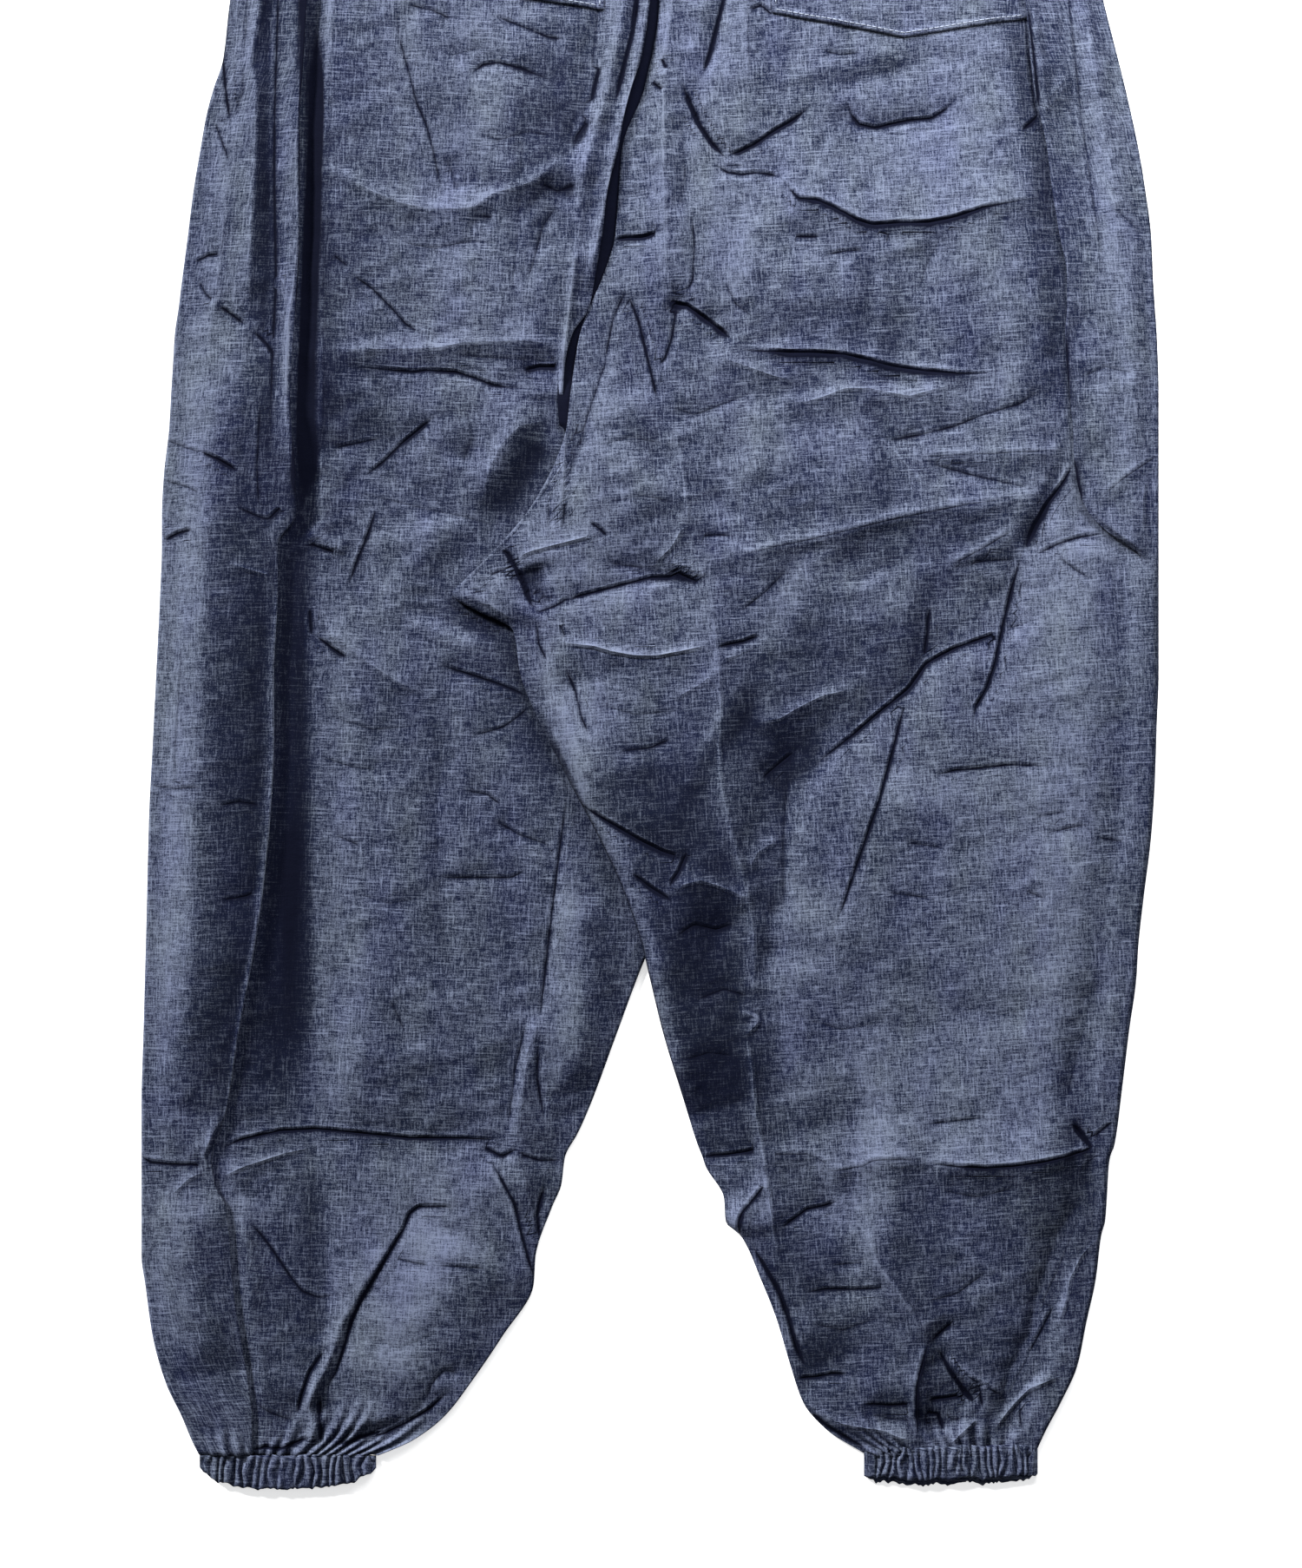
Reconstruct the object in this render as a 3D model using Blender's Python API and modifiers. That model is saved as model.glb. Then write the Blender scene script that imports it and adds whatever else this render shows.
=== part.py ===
"""Balloon pants in thin chambray, laid flat on their front, with the back panels on top.

The origin is on the surface that the garment lies on, at the middle of its width. X runs to the right, Y to the
waist and Z up. Sizes are in millimetres until the meshes are made. Each panel is an open sheet, placed by a
function of its own sections and folds, and Solidify gives it the thickness of its wall.
"""

import math
from typing import NamedTuple

import bmesh
import bpy

MM = 0.001

# Cloth
WALL = 1.2
GAP = 0.3
LAYER = WALL + GAP
UNDER_LAYER = WALL / 2
TOP_LAYER = UNDER_LAYER + LAYER

# Lengths from the waist down
WAIST_TOP = 503.0
WAISTBAND_HEIGHT = 40.0
WAIST_SEAM = WAIST_TOP - WAISTBAND_HEIGHT
POCKET_TOP = 445.0
LEGS_CROSS = 72.0
HEM_SEAM = -484.0

# How the layers lie
EDGE_ROLL = 1.5
SEAM_TUCK = 8.0
PUFF = 2.0
PUFF_RUN = 26.0
CROSSING_MARGIN = 22.0
CROSSING_RUN = 35.0
SIDE_FOLD_RISE = 3.4
RIGHT_FOLD_RISE = 1.7
SIDE_FOLD_WIDTH = 7.0
POCKET_LIFT = 1.6
POCKET_OFFSET = LAYER + 0.2
POCKET_CLEAR_OF_BOTTOM = 6.0
WAIST_GATHER = 1.2
WAIST_GATHER_PITCH = 26.0
WAIST_GATHER_RUN = 130.0
HEM_GATHER = 1.3
HEM_GATHER_PITCH = 15.0
HEM_GATHER_RUN = 45.0


class LeftSection(NamedTuple):
    """One level of the left leg: where its outer edge, its side seam and its inner edge are."""

    y: float
    outer: float
    seam: float
    inner: float


class RightSection(NamedTuple):
    """One level of the right leg: its inner edge, the long pressed ridge, the side seam and the outer edge."""

    y: float
    inner: float
    ridge: float
    seam: float
    outer: float


LEFT_LEG = (
    LeftSection(463, -186, -158, 4),
    LeftSection(400, -202, -170, 4),
    LeftSection(350, -216, -178, 3),
    LeftSection(303, -227, -185, 0),
    LeftSection(255, -236, -188, -10),
    LeftSection(223, -243, -189, -17),
    LeftSection(199, -247, -189, -23),
    LeftSection(175, -250, -189, -26),
    LeftSection(152, -253, -190, -30),
    LeftSection(122, -257, -192, -42),
    LeftSection(90, -259, -194, -47),
    LeftSection(72, -260, -193, -46),
    LeftSection(45, -263, -191, -14),
    LeftSection(24, -264, -191, 20),
    LeftSection(8, -264, -201, 38),
    LeftSection(-19, -265, -201, 55),
    LeftSection(-60, -267, -203, 58),
    LeftSection(-100, -269, -203, 48),
    LeftSection(-140, -271, -205, 32),
    LeftSection(-180, -272, -209, 14),
    LeftSection(-219, -273, -215, -4),
    LeftSection(-256, -274, -222, -18),
    LeftSection(-294, -275, -228, -32),
    LeftSection(-323, -275, -237, -46),
    LeftSection(-350, -275, -229, -53),
    LeftSection(-377, -275, -226, -62),
    LeftSection(-392, -273, -225, -63),
    LeftSection(-420, -269, -221, -80),
    LeftSection(-445, -262, -217, -97),
    LeftSection(-464, -253, -215, -112),
    LeftSection(-476, -248, -215, -128),
    LeftSection(-484, -244, -215, -147),
)

RIGHT_LEG = (
    RightSection(463, 5, 30, 180, 196),
    RightSection(400, 5, 22, 189, 219),
    RightSection(350, 5, 16, 196, 234),
    RightSection(303, 5, 12, 202, 245),
    RightSection(255, -3, 9, 207, 257),
    RightSection(223, -15, 7, 214, 264),
    RightSection(199, -17, 7, 217, 268),
    RightSection(175, -19, 7, 221, 271),
    RightSection(152, -26, 7, 225, 272),
    RightSection(122, -38, 5, 224, 274),
    RightSection(90, -43, 8, 226, 275),
    RightSection(72, -45, 13, 228, 275),
    RightSection(53, -51, 16, 229, 275),
    RightSection(33, -61, 19, 233, 275),
    RightSection(15, -75, 22, 247, 275),
    RightSection(0, -89, 28, 266, 275),
    RightSection(-19, -107, 31, 267, 275),
    RightSection(-30, -88, 32, 267, 275),
    RightSection(-38, -74, 33, 267, 275),
    RightSection(-62, -70, 35, 267, 275),
    RightSection(-89, -59, 37, 266, 274),
    RightSection(-119, -44, 36, 265, 273),
    RightSection(-149, -28, 43, 263, 271),
    RightSection(-182, -13, 53, 259, 267),
    RightSection(-209, -4, 55, 256, 264),
    RightSection(-226, 0, 56, 255, 263),
    RightSection(-255, 7, 55, 251, 259),
    RightSection(-288, 17, 59, 247, 255),
    RightSection(-322, 28, 63, 242, 250),
    RightSection(-345, 40, 67, 239, 247),
    RightSection(-365, 49, 70, 236, 244),
    RightSection(-389, 60, 74, 233, 241),
    RightSection(-412, 69, 79, 228, 236),
    RightSection(-436, 76, 86, 223, 231),
    RightSection(-456, 83, 96, 214, 222),
    RightSection(-471, 96, 112, 206, 214),
    RightSection(-484, 117, 128, 200, 208),
)


class Fold(NamedTuple):
    """A soft ridge in a panel: its path, its height, and how far it slopes away on each side of the path."""

    path: tuple
    height: float
    left_slope: float
    right_slope: float


LEFT_STRIP_FOLDS = (
    Fold(((-173, 463), (-205, 340), (-211, 290), (-214, 220), (-217, 150), (-224, 100)), 2.4, 9, 5),
    Fold(((-262, 8), (-236, 6), (-206, 2)), 1.0, 7, 9),
    Fold(((-272, -323), (-254, -327), (-238, -324)), 1.4, 8, 10),
)

RIGHT_STRIP_FOLDS = (
    Fold(((212, 400), (235, 300), (242, 210), (251, 120), (256, 50)), 1.6, 9, 9),
    Fold(((234, 30), (250, 17), (268, 4)), 1.4, 8, 8),
)

LEFT_BACK_FOLDS = (
    Fold(((-10, 440), (-17, 303), (-31, 223), (-41, 160), (-53, 108)), 2.6, 9, 7),
    Fold(((-176, 211), (-146, 196), (-114, 187), (-68, 201), (-38, 212)), 1.8, 9, 12),
    Fold(((-172, 114), (-106, 117), (-58, 116)), 1.6, 10, 12),
    Fold(((-152, 42), (-118, 76), (-90, 96)), 1.2, 8, 10),
    Fold(((-90, 50), (-66, 74), (-50, 92)), 1.2, 9, 9),
    Fold(((-187, 40), (-120, 24), (-84, 16)), 1.4, 9, 10),
    Fold(((-182, -40), (-152, -60), (-131, -74)), 1.2, 8, 9),
    Fold(((-47, -120), (-54, -186), (-61, -253), (-72, -308)), 1.4, 14, 12),
    Fold(((-232, -322), (-183, -309), (-140, -310), (-92, -313), (-60, -315)), 2.2, 11, 9),
    Fold(((-110, -352), (-136, -366), (-152, -394), (-170, -430), (-184, -476)), 2.0, 10, 10),
    Fold(((-88, -322), (-76, -350), (-67, -384)), 1.6, 9, 9),
    Fold(((-90, -468), (-114, -462), (-142, -470)), 1.2, 9, 9),
)

RIGHT_BACK_FOLDS = (
    Fold(((24, 400), (12, 303), (8, 209), (8, 140), (13, 69), (22, 20)), 2.2, 12, 8),
    Fold(((30, -4), (34, -54), (36, -117), (43, -149), (55, -209), (56, -255), (63, -321)), 2.4, 13, 8),
    Fold(((70, -357), (74, -392), (84, -438), (100, -468)), 1.6, 10, 9),
    Fold(((20, 250), (38, 222), (58, 222), (84, 240)), 1.8, 9, 9),
    Fold(((104, 246), (130, 234), (164, 246)), 1.4, 9, 9),
    Fold(((36, 212), (72, 204), (112, 182), (150, 180), (206, 194)), 2.0, 10, 10),
    Fold(((16, 138), (46, 118), (104, 110), (156, 100), (190, 102)), 2.2, 10, 10),
    Fold(((40, 108), (78, 100), (130, 92), (166, 98)), 1.2, 9, 9),
    Fold(((33, 4), (82, 10), (142, 22), (206, 34)), 2.2, 11, 9),
    Fold(((146, 54), (180, 45), (208, 40)), 1.2, 8, 9),
    Fold(((208, -34), (150, -56), (128, -80), (80, -110)), 1.8, 9, 10),
    Fold(((-48, -46), (-18, -51), (12, -50), (34, -45)), 1.6, 9, 9),
    Fold(((-48, -25), (-15, -14), (26, -12)), 1.5, 9, 9),
    Fold(((-36, -132), (-12, -150), (14, -158)), 1.4, 9, 9),
    Fold(((30, -322), (84, -321), (138, -322), (196, -322), (240, -318)), 2.4, 11, 9),
    Fold(((116, -360), (128, -392), (149, -426), (144, -472)), 2.0, 10, 10),
    Fold(((238, -366), (218, -406), (208, -434), (194, -460)), 1.6, 9, 9),
)

LEFT_BACK_COLUMNS = 14
RIGHT_BACK_INNER_COLUMNS = 4
RIGHT_BACK_OUTER_COLUMNS = 15
POCKET_LEFT_COLUMNS = (7, 12)
POCKET_RIGHT_COLUMNS = (8, 19)
PANEL_ROW_STEP = 28.0
CLOSEST_UNDER_ROWS = 13.0
ROLL_COLUMNS = 4
STRIP_COLUMNS = 5
RING_END_STEPS = 4

CUFF_GATHERS = 26
WAIST_GATHERS = 34


class Ring(NamedTuple):
    """A gathered elastic band, flattened: its ends, its edges along Y, and how far its corners draw back."""

    left: float
    right: float
    top: float
    bottom: float
    corner_rise: float
    lower_layer_longer: float
    gathers: int
    gather_height: float


WAISTBAND = Ring(-184, 194, WAIST_TOP, WAIST_SEAM + GAP, 0, 0, WAIST_GATHERS, 1.6)
CUFF_LEFT = Ring(-243, -149, HEM_SEAM - GAP, -503, 10, 0, CUFF_GATHERS, 1.0)
CUFF_RIGHT = Ring(116.5, 209, HEM_SEAM - GAP, -498, 1.5, 3.5, CUFF_GATHERS, 1.0)


class Cloth(NamedTuple):
    """A finish: base colour and roughness."""

    colour: tuple
    roughness: float


CHAMBRAY_LIGHT = Cloth((0.125, 0.155, 0.25), 0.9)
CHAMBRAY_DARK = Cloth((0.085, 0.105, 0.175), 0.92)


def smooth_step(value):
    """0 below 0, 1 above 1, and a smooth rise between."""
    value = min(max(value, 0.0), 1.0)
    return value * value * (3 - 2 * value)


def edge_curve(sections, column):
    """x of one edge as a smooth function of y that never overshoots the sections' own values."""
    rows = sorted(sections, key=lambda section: section.y)
    ys = [row.y for row in rows]
    xs = [getattr(row, column) for row in rows]
    slopes = [(xs[i + 1] - xs[i]) / (ys[i + 1] - ys[i]) for i in range(len(ys) - 1)]
    tangents = [slopes[0]]
    for before, after in zip(slopes, slopes[1:]):
        same_way = before * after > 0
        tangents.append(2 * before * after / (before + after) if same_way else 0.0)
    tangents.append(slopes[-1])

    def at(y):
        y = min(max(y, ys[0]), ys[-1])
        i = 0
        while i < len(ys) - 2 and y > ys[i + 1]:
            i += 1
        run = ys[i + 1] - ys[i]
        t = (y - ys[i]) / run
        start, end = xs[i], xs[i + 1]
        leave, arrive = tangents[i] * run, tangents[i + 1] * run
        return (
            start * (1 + 2 * t) * (1 - t) ** 2
            + leave * t * (1 - t) ** 2
            + end * t * t * (3 - 2 * t)
            - arrive * t * t * (1 - t)
        )

    return at


LEFT_OUTER = edge_curve(LEFT_LEG, "outer")
LEFT_SEAM = edge_curve(LEFT_LEG, "seam")
LEFT_INNER = edge_curve(LEFT_LEG, "inner")
RIGHT_INNER = edge_curve(RIGHT_LEG, "inner")
RIGHT_RIDGE = edge_curve(RIGHT_LEG, "ridge")
RIGHT_SEAM = edge_curve(RIGHT_LEG, "seam")
RIGHT_OUTER = edge_curve(RIGHT_LEG, "outer")


def fold_height(folds, x, y):
    """The height that the folds give a point: each is full along its path and fades at its ends and sides."""
    total = 0.0
    for fold in folds:
        best = None
        count = len(fold.path) - 1
        for i in range(count):
            (ax, ay), (bx, by) = fold.path[i], fold.path[i + 1]
            dx, dy = bx - ax, by - ay
            along = min(max(((x - ax) * dx + (y - ay) * dy) / (dx * dx + dy * dy), 0.0), 1.0)
            off_x, off_y = x - ax - along * dx, y - ay - along * dy
            distance = math.hypot(off_x, off_y)
            if best is None or distance < best[0]:
                on_left = dx * off_y - dy * off_x > 0
                best = (distance, on_left, (i + along) / count)
        distance, on_left, part = best
        slope = fold.left_slope if on_left else fold.right_slope
        taper = smooth_step(4 * part + 0.3) * smooth_step(4 * (1 - part) + 0.3)
        total += fold.height * taper * math.exp(-((distance / slope) ** 2))
    return total


def gathers(x, y, seam_y, pitch, run, height):
    """Soft waves that start at a gathered seam and fade over a run."""
    fade = 1 - smooth_step(abs(y - seam_y) / run)
    return height * fade * (0.5 - 0.5 * math.cos(2 * math.pi * x / pitch))


def puff(x, left, right, y):
    """How far a panel lifts off the one under it: nothing at its edges and full inside."""
    sides = smooth_step((x - left) / PUFF_RUN) * smooth_step((right - x) / PUFF_RUN)
    ends = smooth_step((WAIST_SEAM - y) / PUFF_RUN) * smooth_step((y - HEM_SEAM) / PUFF_RUN)
    return PUFF * sides * ends


def crossing_lift(x, y):
    """How far the right leg is carried up where it lies over the left leg."""
    begun = smooth_step((106 - y) / 16)
    beyond = (x - LEFT_INNER(y) - CROSSING_MARGIN) / CROSSING_RUN
    below = smooth_step((y + 262) / 36)
    return 2 * LAYER * begun * below * (1 - smooth_step(beyond))


def clear_of_crossing(x, y):
    """1 where nothing lies on the left leg, 0 under the right leg."""
    if y > LEGS_CROSS + 20:
        return 1.0
    covered_from = min(RIGHT_INNER(y - 14), RIGHT_INNER(y), RIGHT_INNER(y + 14))
    return smooth_step((covered_from - 18 - x) / 20)


def left_back_height(x, y):
    relief = puff(x, LEFT_SEAM(y) + 6, LEFT_INNER(y), y) + fold_height(LEFT_BACK_FOLDS, x, y)
    relief += gathers(x, y, WAIST_SEAM, WAIST_GATHER_PITCH, WAIST_GATHER_RUN, WAIST_GATHER)
    relief += gathers(x, y, HEM_SEAM, HEM_GATHER_PITCH, HEM_GATHER_RUN, HEM_GATHER)
    beside_strip = smooth_step((x - LEFT_SEAM(y) - 2) / 10)
    return TOP_LAYER + relief * clear_of_crossing(x, y) * beside_strip


def right_back_height(x, y):
    relief = puff(x, RIGHT_INNER(y), RIGHT_SEAM(y) - 4, y) + fold_height(RIGHT_BACK_FOLDS, x, y)
    relief += gathers(x, y, WAIST_SEAM, WAIST_GATHER_PITCH, WAIST_GATHER_RUN, WAIST_GATHER)
    relief += gathers(x, y, HEM_SEAM, HEM_GATHER_PITCH, HEM_GATHER_RUN, HEM_GATHER)
    beside_strip = smooth_step((RIGHT_SEAM(y) - 2 - x) / 10)
    return TOP_LAYER + crossing_lift(x, y) + relief * beside_strip


def strip_height(x, y, seam, folds, rise, over_pocket):
    """The part of a front panel that comes round the outer edge and lies on the back panel."""
    edge = math.exp(-(((x - seam) / SIDE_FOLD_WIDTH) ** 2))
    inside = smooth_step(abs(x - seam) / 6) if folds else 0.0
    return UNDER_LAYER + 2 * EDGE_ROLL + rise * edge + over_pocket + inside * fold_height(folds, x, y)


def levels(sections, step):
    """The y of each row of a panel: every section's own, with more between those that lie far apart."""
    ys = sorted((section.y for section in sections), reverse=True)
    rows = [ys[0]]
    for y in ys[1:]:
        parts = math.ceil((rows[-1] - y) / step)
        start = rows[-1]
        rows += [start + (y - start) * (i + 1) / parts for i in range(parts)]
    return rows


def thinned(rows, step):
    """The same rows without those that lie closer than the step to the one before."""
    kept = [rows[0]]
    for y in rows[1:-1]:
        if kept[-1] - y >= step and y - rows[-1] >= step / 2:
            kept.append(y)
    return kept + [rows[-1]]


def cloth_material(name, cloth):
    material = bpy.data.materials.new(name)
    material.use_nodes = True
    shader = material.node_tree.nodes["Principled BSDF"]
    shader.inputs["Base Color"].default_value = (*cloth.colour, 1.0)
    shader.inputs["Roughness"].default_value = cloth.roughness
    shader.inputs["Metallic"].default_value = 0.0
    material.diffuse_color = (*cloth.colour, 1.0)
    return material


def make_sheet(name, columns, rows, place, collection, cloth, ring=False):
    """A grid of columns by rows, each point put where place(column, row) says, with a wall's thickness."""
    mesh = bpy.data.meshes.new(name)
    shape = bmesh.new()
    bmesh.ops.create_grid(shape, x_segments=columns, y_segments=rows, size=0.5)
    for point in shape.verts:
        column = round((point.co.x + 0.5) * columns)
        row = round((0.5 - point.co.y) * rows)
        point.co = [value * MM for value in place(column, row)]
    if ring:
        bmesh.ops.remove_doubles(shape, verts=shape.verts, dist=1e-6)
    shape.to_mesh(mesh)
    shape.free()
    mesh.shade_smooth()
    mesh.materials.append(cloth_material(name, cloth))
    piece = bpy.data.objects.new(name, mesh)
    collection.objects.link(piece)
    wall = piece.modifiers.new("Wall", "SOLIDIFY")
    wall.thickness = WALL * MM
    wall.offset = 0.0
    wall.use_even_offset = False
    return piece


def make_left_back(collection):
    rows = levels(LEFT_LEG, PANEL_ROW_STEP)

    def place(column, row):
        y = rows[row]
        left = LEFT_SEAM(y) - SEAM_TUCK
        x = left + (LEFT_INNER(y) - left) * column / LEFT_BACK_COLUMNS
        return x, y, left_back_height(x, y)

    make_sheet("back_left", LEFT_BACK_COLUMNS, len(rows) - 1, place, collection, CHAMBRAY_LIGHT)
    return rows, place


def make_right_back(collection):
    rows = levels(RIGHT_LEG, PANEL_ROW_STEP)

    def place(column, row):
        y = rows[row]
        inner, ridge = RIGHT_INNER(y), RIGHT_RIDGE(y)
        tuck = SEAM_TUCK if y > 30 else 3.0
        outer = RIGHT_SEAM(y) + tuck
        if column <= RIGHT_BACK_INNER_COLUMNS:
            x = inner + (ridge - inner) * column / RIGHT_BACK_INNER_COLUMNS
        else:
            x = ridge + (outer - ridge) * (column - RIGHT_BACK_INNER_COLUMNS) / RIGHT_BACK_OUTER_COLUMNS
        return x, y, right_back_height(x, y)

    columns = RIGHT_BACK_INNER_COLUMNS + RIGHT_BACK_OUTER_COLUMNS
    make_sheet("back_right", columns, len(rows) - 1, place, collection, CHAMBRAY_LIGHT)
    return rows, place


def make_front(name, sections, flat_part, outer, seam, way, height, lift, collection):
    """A front panel: flat underneath, rolled round the outer edge, and back over the top as far as the seam.

    flat_part(y) gives the x of the flat part's columns, without the last one, which is where the roll starts.
    way is -1 for the left leg, whose outer edge is at its left, and 1 for the right leg.
    """
    rows = thinned(levels(sections, PANEL_ROW_STEP), CLOSEST_UNDER_ROWS)
    flat_columns = len(flat_part(rows[0]))
    columns = flat_columns + ROLL_COLUMNS + STRIP_COLUMNS

    def place(column, row):
        y = rows[row]
        turn = outer(y) - way * EDGE_ROLL
        if column <= flat_columns:
            x = (*flat_part(y), turn)[column]
            return x, y, UNDER_LAYER + lift(x, y)
        if column < flat_columns + ROLL_COLUMNS:
            angle = math.pi * (column - flat_columns) / ROLL_COLUMNS
            x = turn + way * EDGE_ROLL * math.sin(angle)
            return x, y, UNDER_LAYER + EDGE_ROLL * (1 - math.cos(angle))
        part = (column - flat_columns - ROLL_COLUMNS) / STRIP_COLUMNS
        x = turn + (seam(y) - turn) * part
        return x, y, height(x, y) if part else UNDER_LAYER + 2 * EDGE_ROLL

    make_sheet(name, columns, len(rows) - 1, place, collection, CHAMBRAY_DARK)


def make_left_front(collection):
    def height(x, y):
        rise = SIDE_FOLD_RISE * (0.25 + 0.75 * smooth_step((y + 345) / 25))
        return strip_height(x, y, LEFT_SEAM(y), LEFT_STRIP_FOLDS, rise, 0.0)

    def flat_part(y):
        return LEFT_INNER(y), (LEFT_INNER(y) + LEFT_OUTER(y)) / 2

    def no_lift(x, y):
        return 0.0

    make_front("front_left", LEFT_LEG, flat_part, LEFT_OUTER, LEFT_SEAM, -1, height, no_lift, collection)


def make_right_front(collection):
    def flat_part(y):
        """The inner edge, the end of the crossing, and where the panel is down on the floor again."""
        inner = RIGHT_INNER(y) if y < LEGS_CROSS else LEFT_INNER(y) + GAP
        crossed = max(inner + 10, LEFT_INNER(y) + CROSSING_MARGIN)
        return inner, crossed, crossed + CROSSING_RUN / 2, crossed + CROSSING_RUN

    def height(x, y):
        rise = RIGHT_FOLD_RISE * smooth_step((y - 8) / 30)
        over_pocket = POCKET_LIFT * smooth_step((y - 236) / 24)
        folds = RIGHT_STRIP_FOLDS if y > 2 else ()
        return strip_height(x, y, RIGHT_SEAM(y), folds, rise, over_pocket)

    make_front("front_right", RIGHT_LEG, flat_part, RIGHT_OUTER, RIGHT_SEAM, 1, height, crossing_lift, collection)


def make_pocket(name, panel, columns, bottom, collection):
    """A patch pocket: the panel's own points, moved out, from its mouth down to its bottom edge.

    columns are the panel's columns at its sides, and bottom is the y of its left corner, its point and its
    right corner.
    """
    rows, place_on_panel = panel
    first, last = columns
    left_corner, point, right_corner = bottom
    full_rows = [y for y in rows if max(bottom) + POCKET_CLEAR_OF_BOTTOM < y < POCKET_TOP]

    def bottom_edge(share):
        if share < 0.5:
            return left_corner + (point - left_corner) * 2 * share
        return point + (right_corner - point) * (2 * share - 1)

    def on_panel(column, y):
        after = next(row for row in range(1, len(rows)) if rows[row] <= y)
        part = (rows[after - 1] - y) / (rows[after - 1] - rows[after])
        above, under = place_on_panel(column, after - 1), place_on_panel(column, after)
        return [a + (b - a) * part for a, b in zip(above, under)]

    def place(column, row):
        edge = bottom_edge(column / (last - first))
        x, y, z = on_panel(first + column, (POCKET_TOP, *full_rows, edge)[row])
        return x, y, z + POCKET_OFFSET

    make_sheet(name, last - first, len(full_rows) + 1, place, collection, CHAMBRAY_LIGHT)


def make_ring(name, ring, collection):
    """A flattened band: a flat lower layer, a turn at each end and a gathered upper layer."""
    top_steps = 2 * ring.gathers
    under_steps = 6
    turn_radius = (LAYER + 0.5) / 2
    around = top_steps + under_steps + 2 * RING_END_STEPS
    left, right = ring.left + turn_radius, ring.right - turn_radius
    middle, half = (left + right) / 2, (right - left) / 2

    def place(column, row):
        column %= around
        under = False
        if column <= top_steps:
            x = left + (right - left) * column / top_steps
            crest = ring.gather_height * (column % 2)
            z = UNDER_LAYER + 2 * turn_radius + crest
        elif column < top_steps + RING_END_STEPS:
            angle = math.pi * (column - top_steps) / RING_END_STEPS
            x = right + turn_radius * math.sin(angle)
            z = UNDER_LAYER + turn_radius * (1 + math.cos(angle))
        elif column <= top_steps + RING_END_STEPS + under_steps:
            x = right + (left - right) * (column - top_steps - RING_END_STEPS) / under_steps
            z = UNDER_LAYER
            under = True
        else:
            angle = math.pi * (column - top_steps - RING_END_STEPS - under_steps) / RING_END_STEPS
            x = left - turn_radius * math.sin(angle)
            z = UNDER_LAYER + turn_radius * (1 - math.cos(angle))
        bottom = ring.bottom + ring.corner_rise * min(abs((x - middle) / half), 1.0) ** 4
        if under:
            bottom -= ring.lower_layer_longer
        y = bottom if row else ring.top
        return x, y, z

    make_sheet(name, around, 1, place, collection, CHAMBRAY_DARK, ring=True)


def main():
    for thing in list(bpy.data.objects):
        bpy.data.objects.remove(thing, do_unlink=True)
    collection = bpy.data.collections.new("balloon_pants")
    bpy.context.scene.collection.children.link(collection)
    make_left_front(collection)
    make_right_front(collection)
    left_panel = make_left_back(collection)
    right_panel = make_right_back(collection)
    make_pocket("pocket_left", left_panel, POCKET_LEFT_COLUMNS, (307, 302, 297), collection)
    make_pocket("pocket_right", right_panel, POCKET_RIGHT_COLUMNS, (295, 281, 295), collection)
    make_ring("waistband", WAISTBAND, collection)
    make_ring("cuff_left", CUFF_LEFT, collection)
    make_ring("cuff_right", CUFF_RIGHT, collection)


main()
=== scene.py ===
import math
from typing import Callable, NamedTuple

import bmesh
import bpy
import numpy as np
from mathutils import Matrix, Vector


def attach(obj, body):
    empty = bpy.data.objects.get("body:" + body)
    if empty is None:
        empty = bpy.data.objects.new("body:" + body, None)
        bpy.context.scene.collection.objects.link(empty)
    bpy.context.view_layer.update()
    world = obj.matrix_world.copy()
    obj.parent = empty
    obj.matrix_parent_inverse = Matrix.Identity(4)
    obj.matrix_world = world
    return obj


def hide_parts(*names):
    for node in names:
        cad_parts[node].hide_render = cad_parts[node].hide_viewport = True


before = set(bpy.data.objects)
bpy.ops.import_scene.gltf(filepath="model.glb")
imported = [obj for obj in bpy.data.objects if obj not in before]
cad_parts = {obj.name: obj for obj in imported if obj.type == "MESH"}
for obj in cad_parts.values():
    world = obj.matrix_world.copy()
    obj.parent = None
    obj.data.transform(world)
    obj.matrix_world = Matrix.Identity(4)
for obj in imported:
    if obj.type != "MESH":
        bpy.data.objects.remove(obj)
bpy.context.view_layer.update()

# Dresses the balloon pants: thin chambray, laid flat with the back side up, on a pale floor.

bl_info = {
    "name": "Balloon Pants, Laid Flat",
    "version": (1, 0, 0),
    "blender": (4, 5, 0),
    "location": "View3D > Sidebar > Balloon Pants",
    "description": "Builds a pair of chambray balloon pants, panel by panel, as they lie on a floor",
    "category": "Object",
}

BODY = "root"

# Lengths are in millimetres. X runs to the right, Y to the waist, and the floor is at Z 0.
MM = 0.001

# Heights of the layers of cloth, which lie on each other as the solids do.
SOLID_WALL = 1.2
SOLID_GAP = 0.3
LAYER = SOLID_WALL + SOLID_GAP
UNDER_LAYER = SOLID_WALL / 2
TOP_LAYER = UNDER_LAYER + LAYER
PRESSED = 0.3
POCKET_LIFT = 1.6
POCKET_OFFSET = 0.8

# Levels along Y.
WAIST_TOP = 503.0
WAIST_SEAM = 463.0
POCKET_TOP = 445.0
CROSSING_TOP = 106.0
LEGS_CROSS = 72.0
LEGS_PART = -226.0
HEM_SEAM = -484.0

# The roll of a front panel round its outer edge, the tuck of a back panel under the strip beside it, the
# share of a leg's lift by which its front panel is lifted, and the relief of the underside.
EDGE_ROLL = 1.5
EDGE_TOP = 2.3
EDGE_TOP_RUN = 14.0
STRIP_LAYER = UNDER_LAYER + 2 * EDGE_ROLL
BACK_TUCK = 7.0
CARRIED = 0.88
UNDER_RUN = 12.0
UNDER_RELIEF = 0.3

# How far each back panel lifts off the front panel under it, and over which run.
LEFT_PUFF = 1.6
RIGHT_PUFF = 2.6
PUFF_RUN = 26.0

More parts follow.
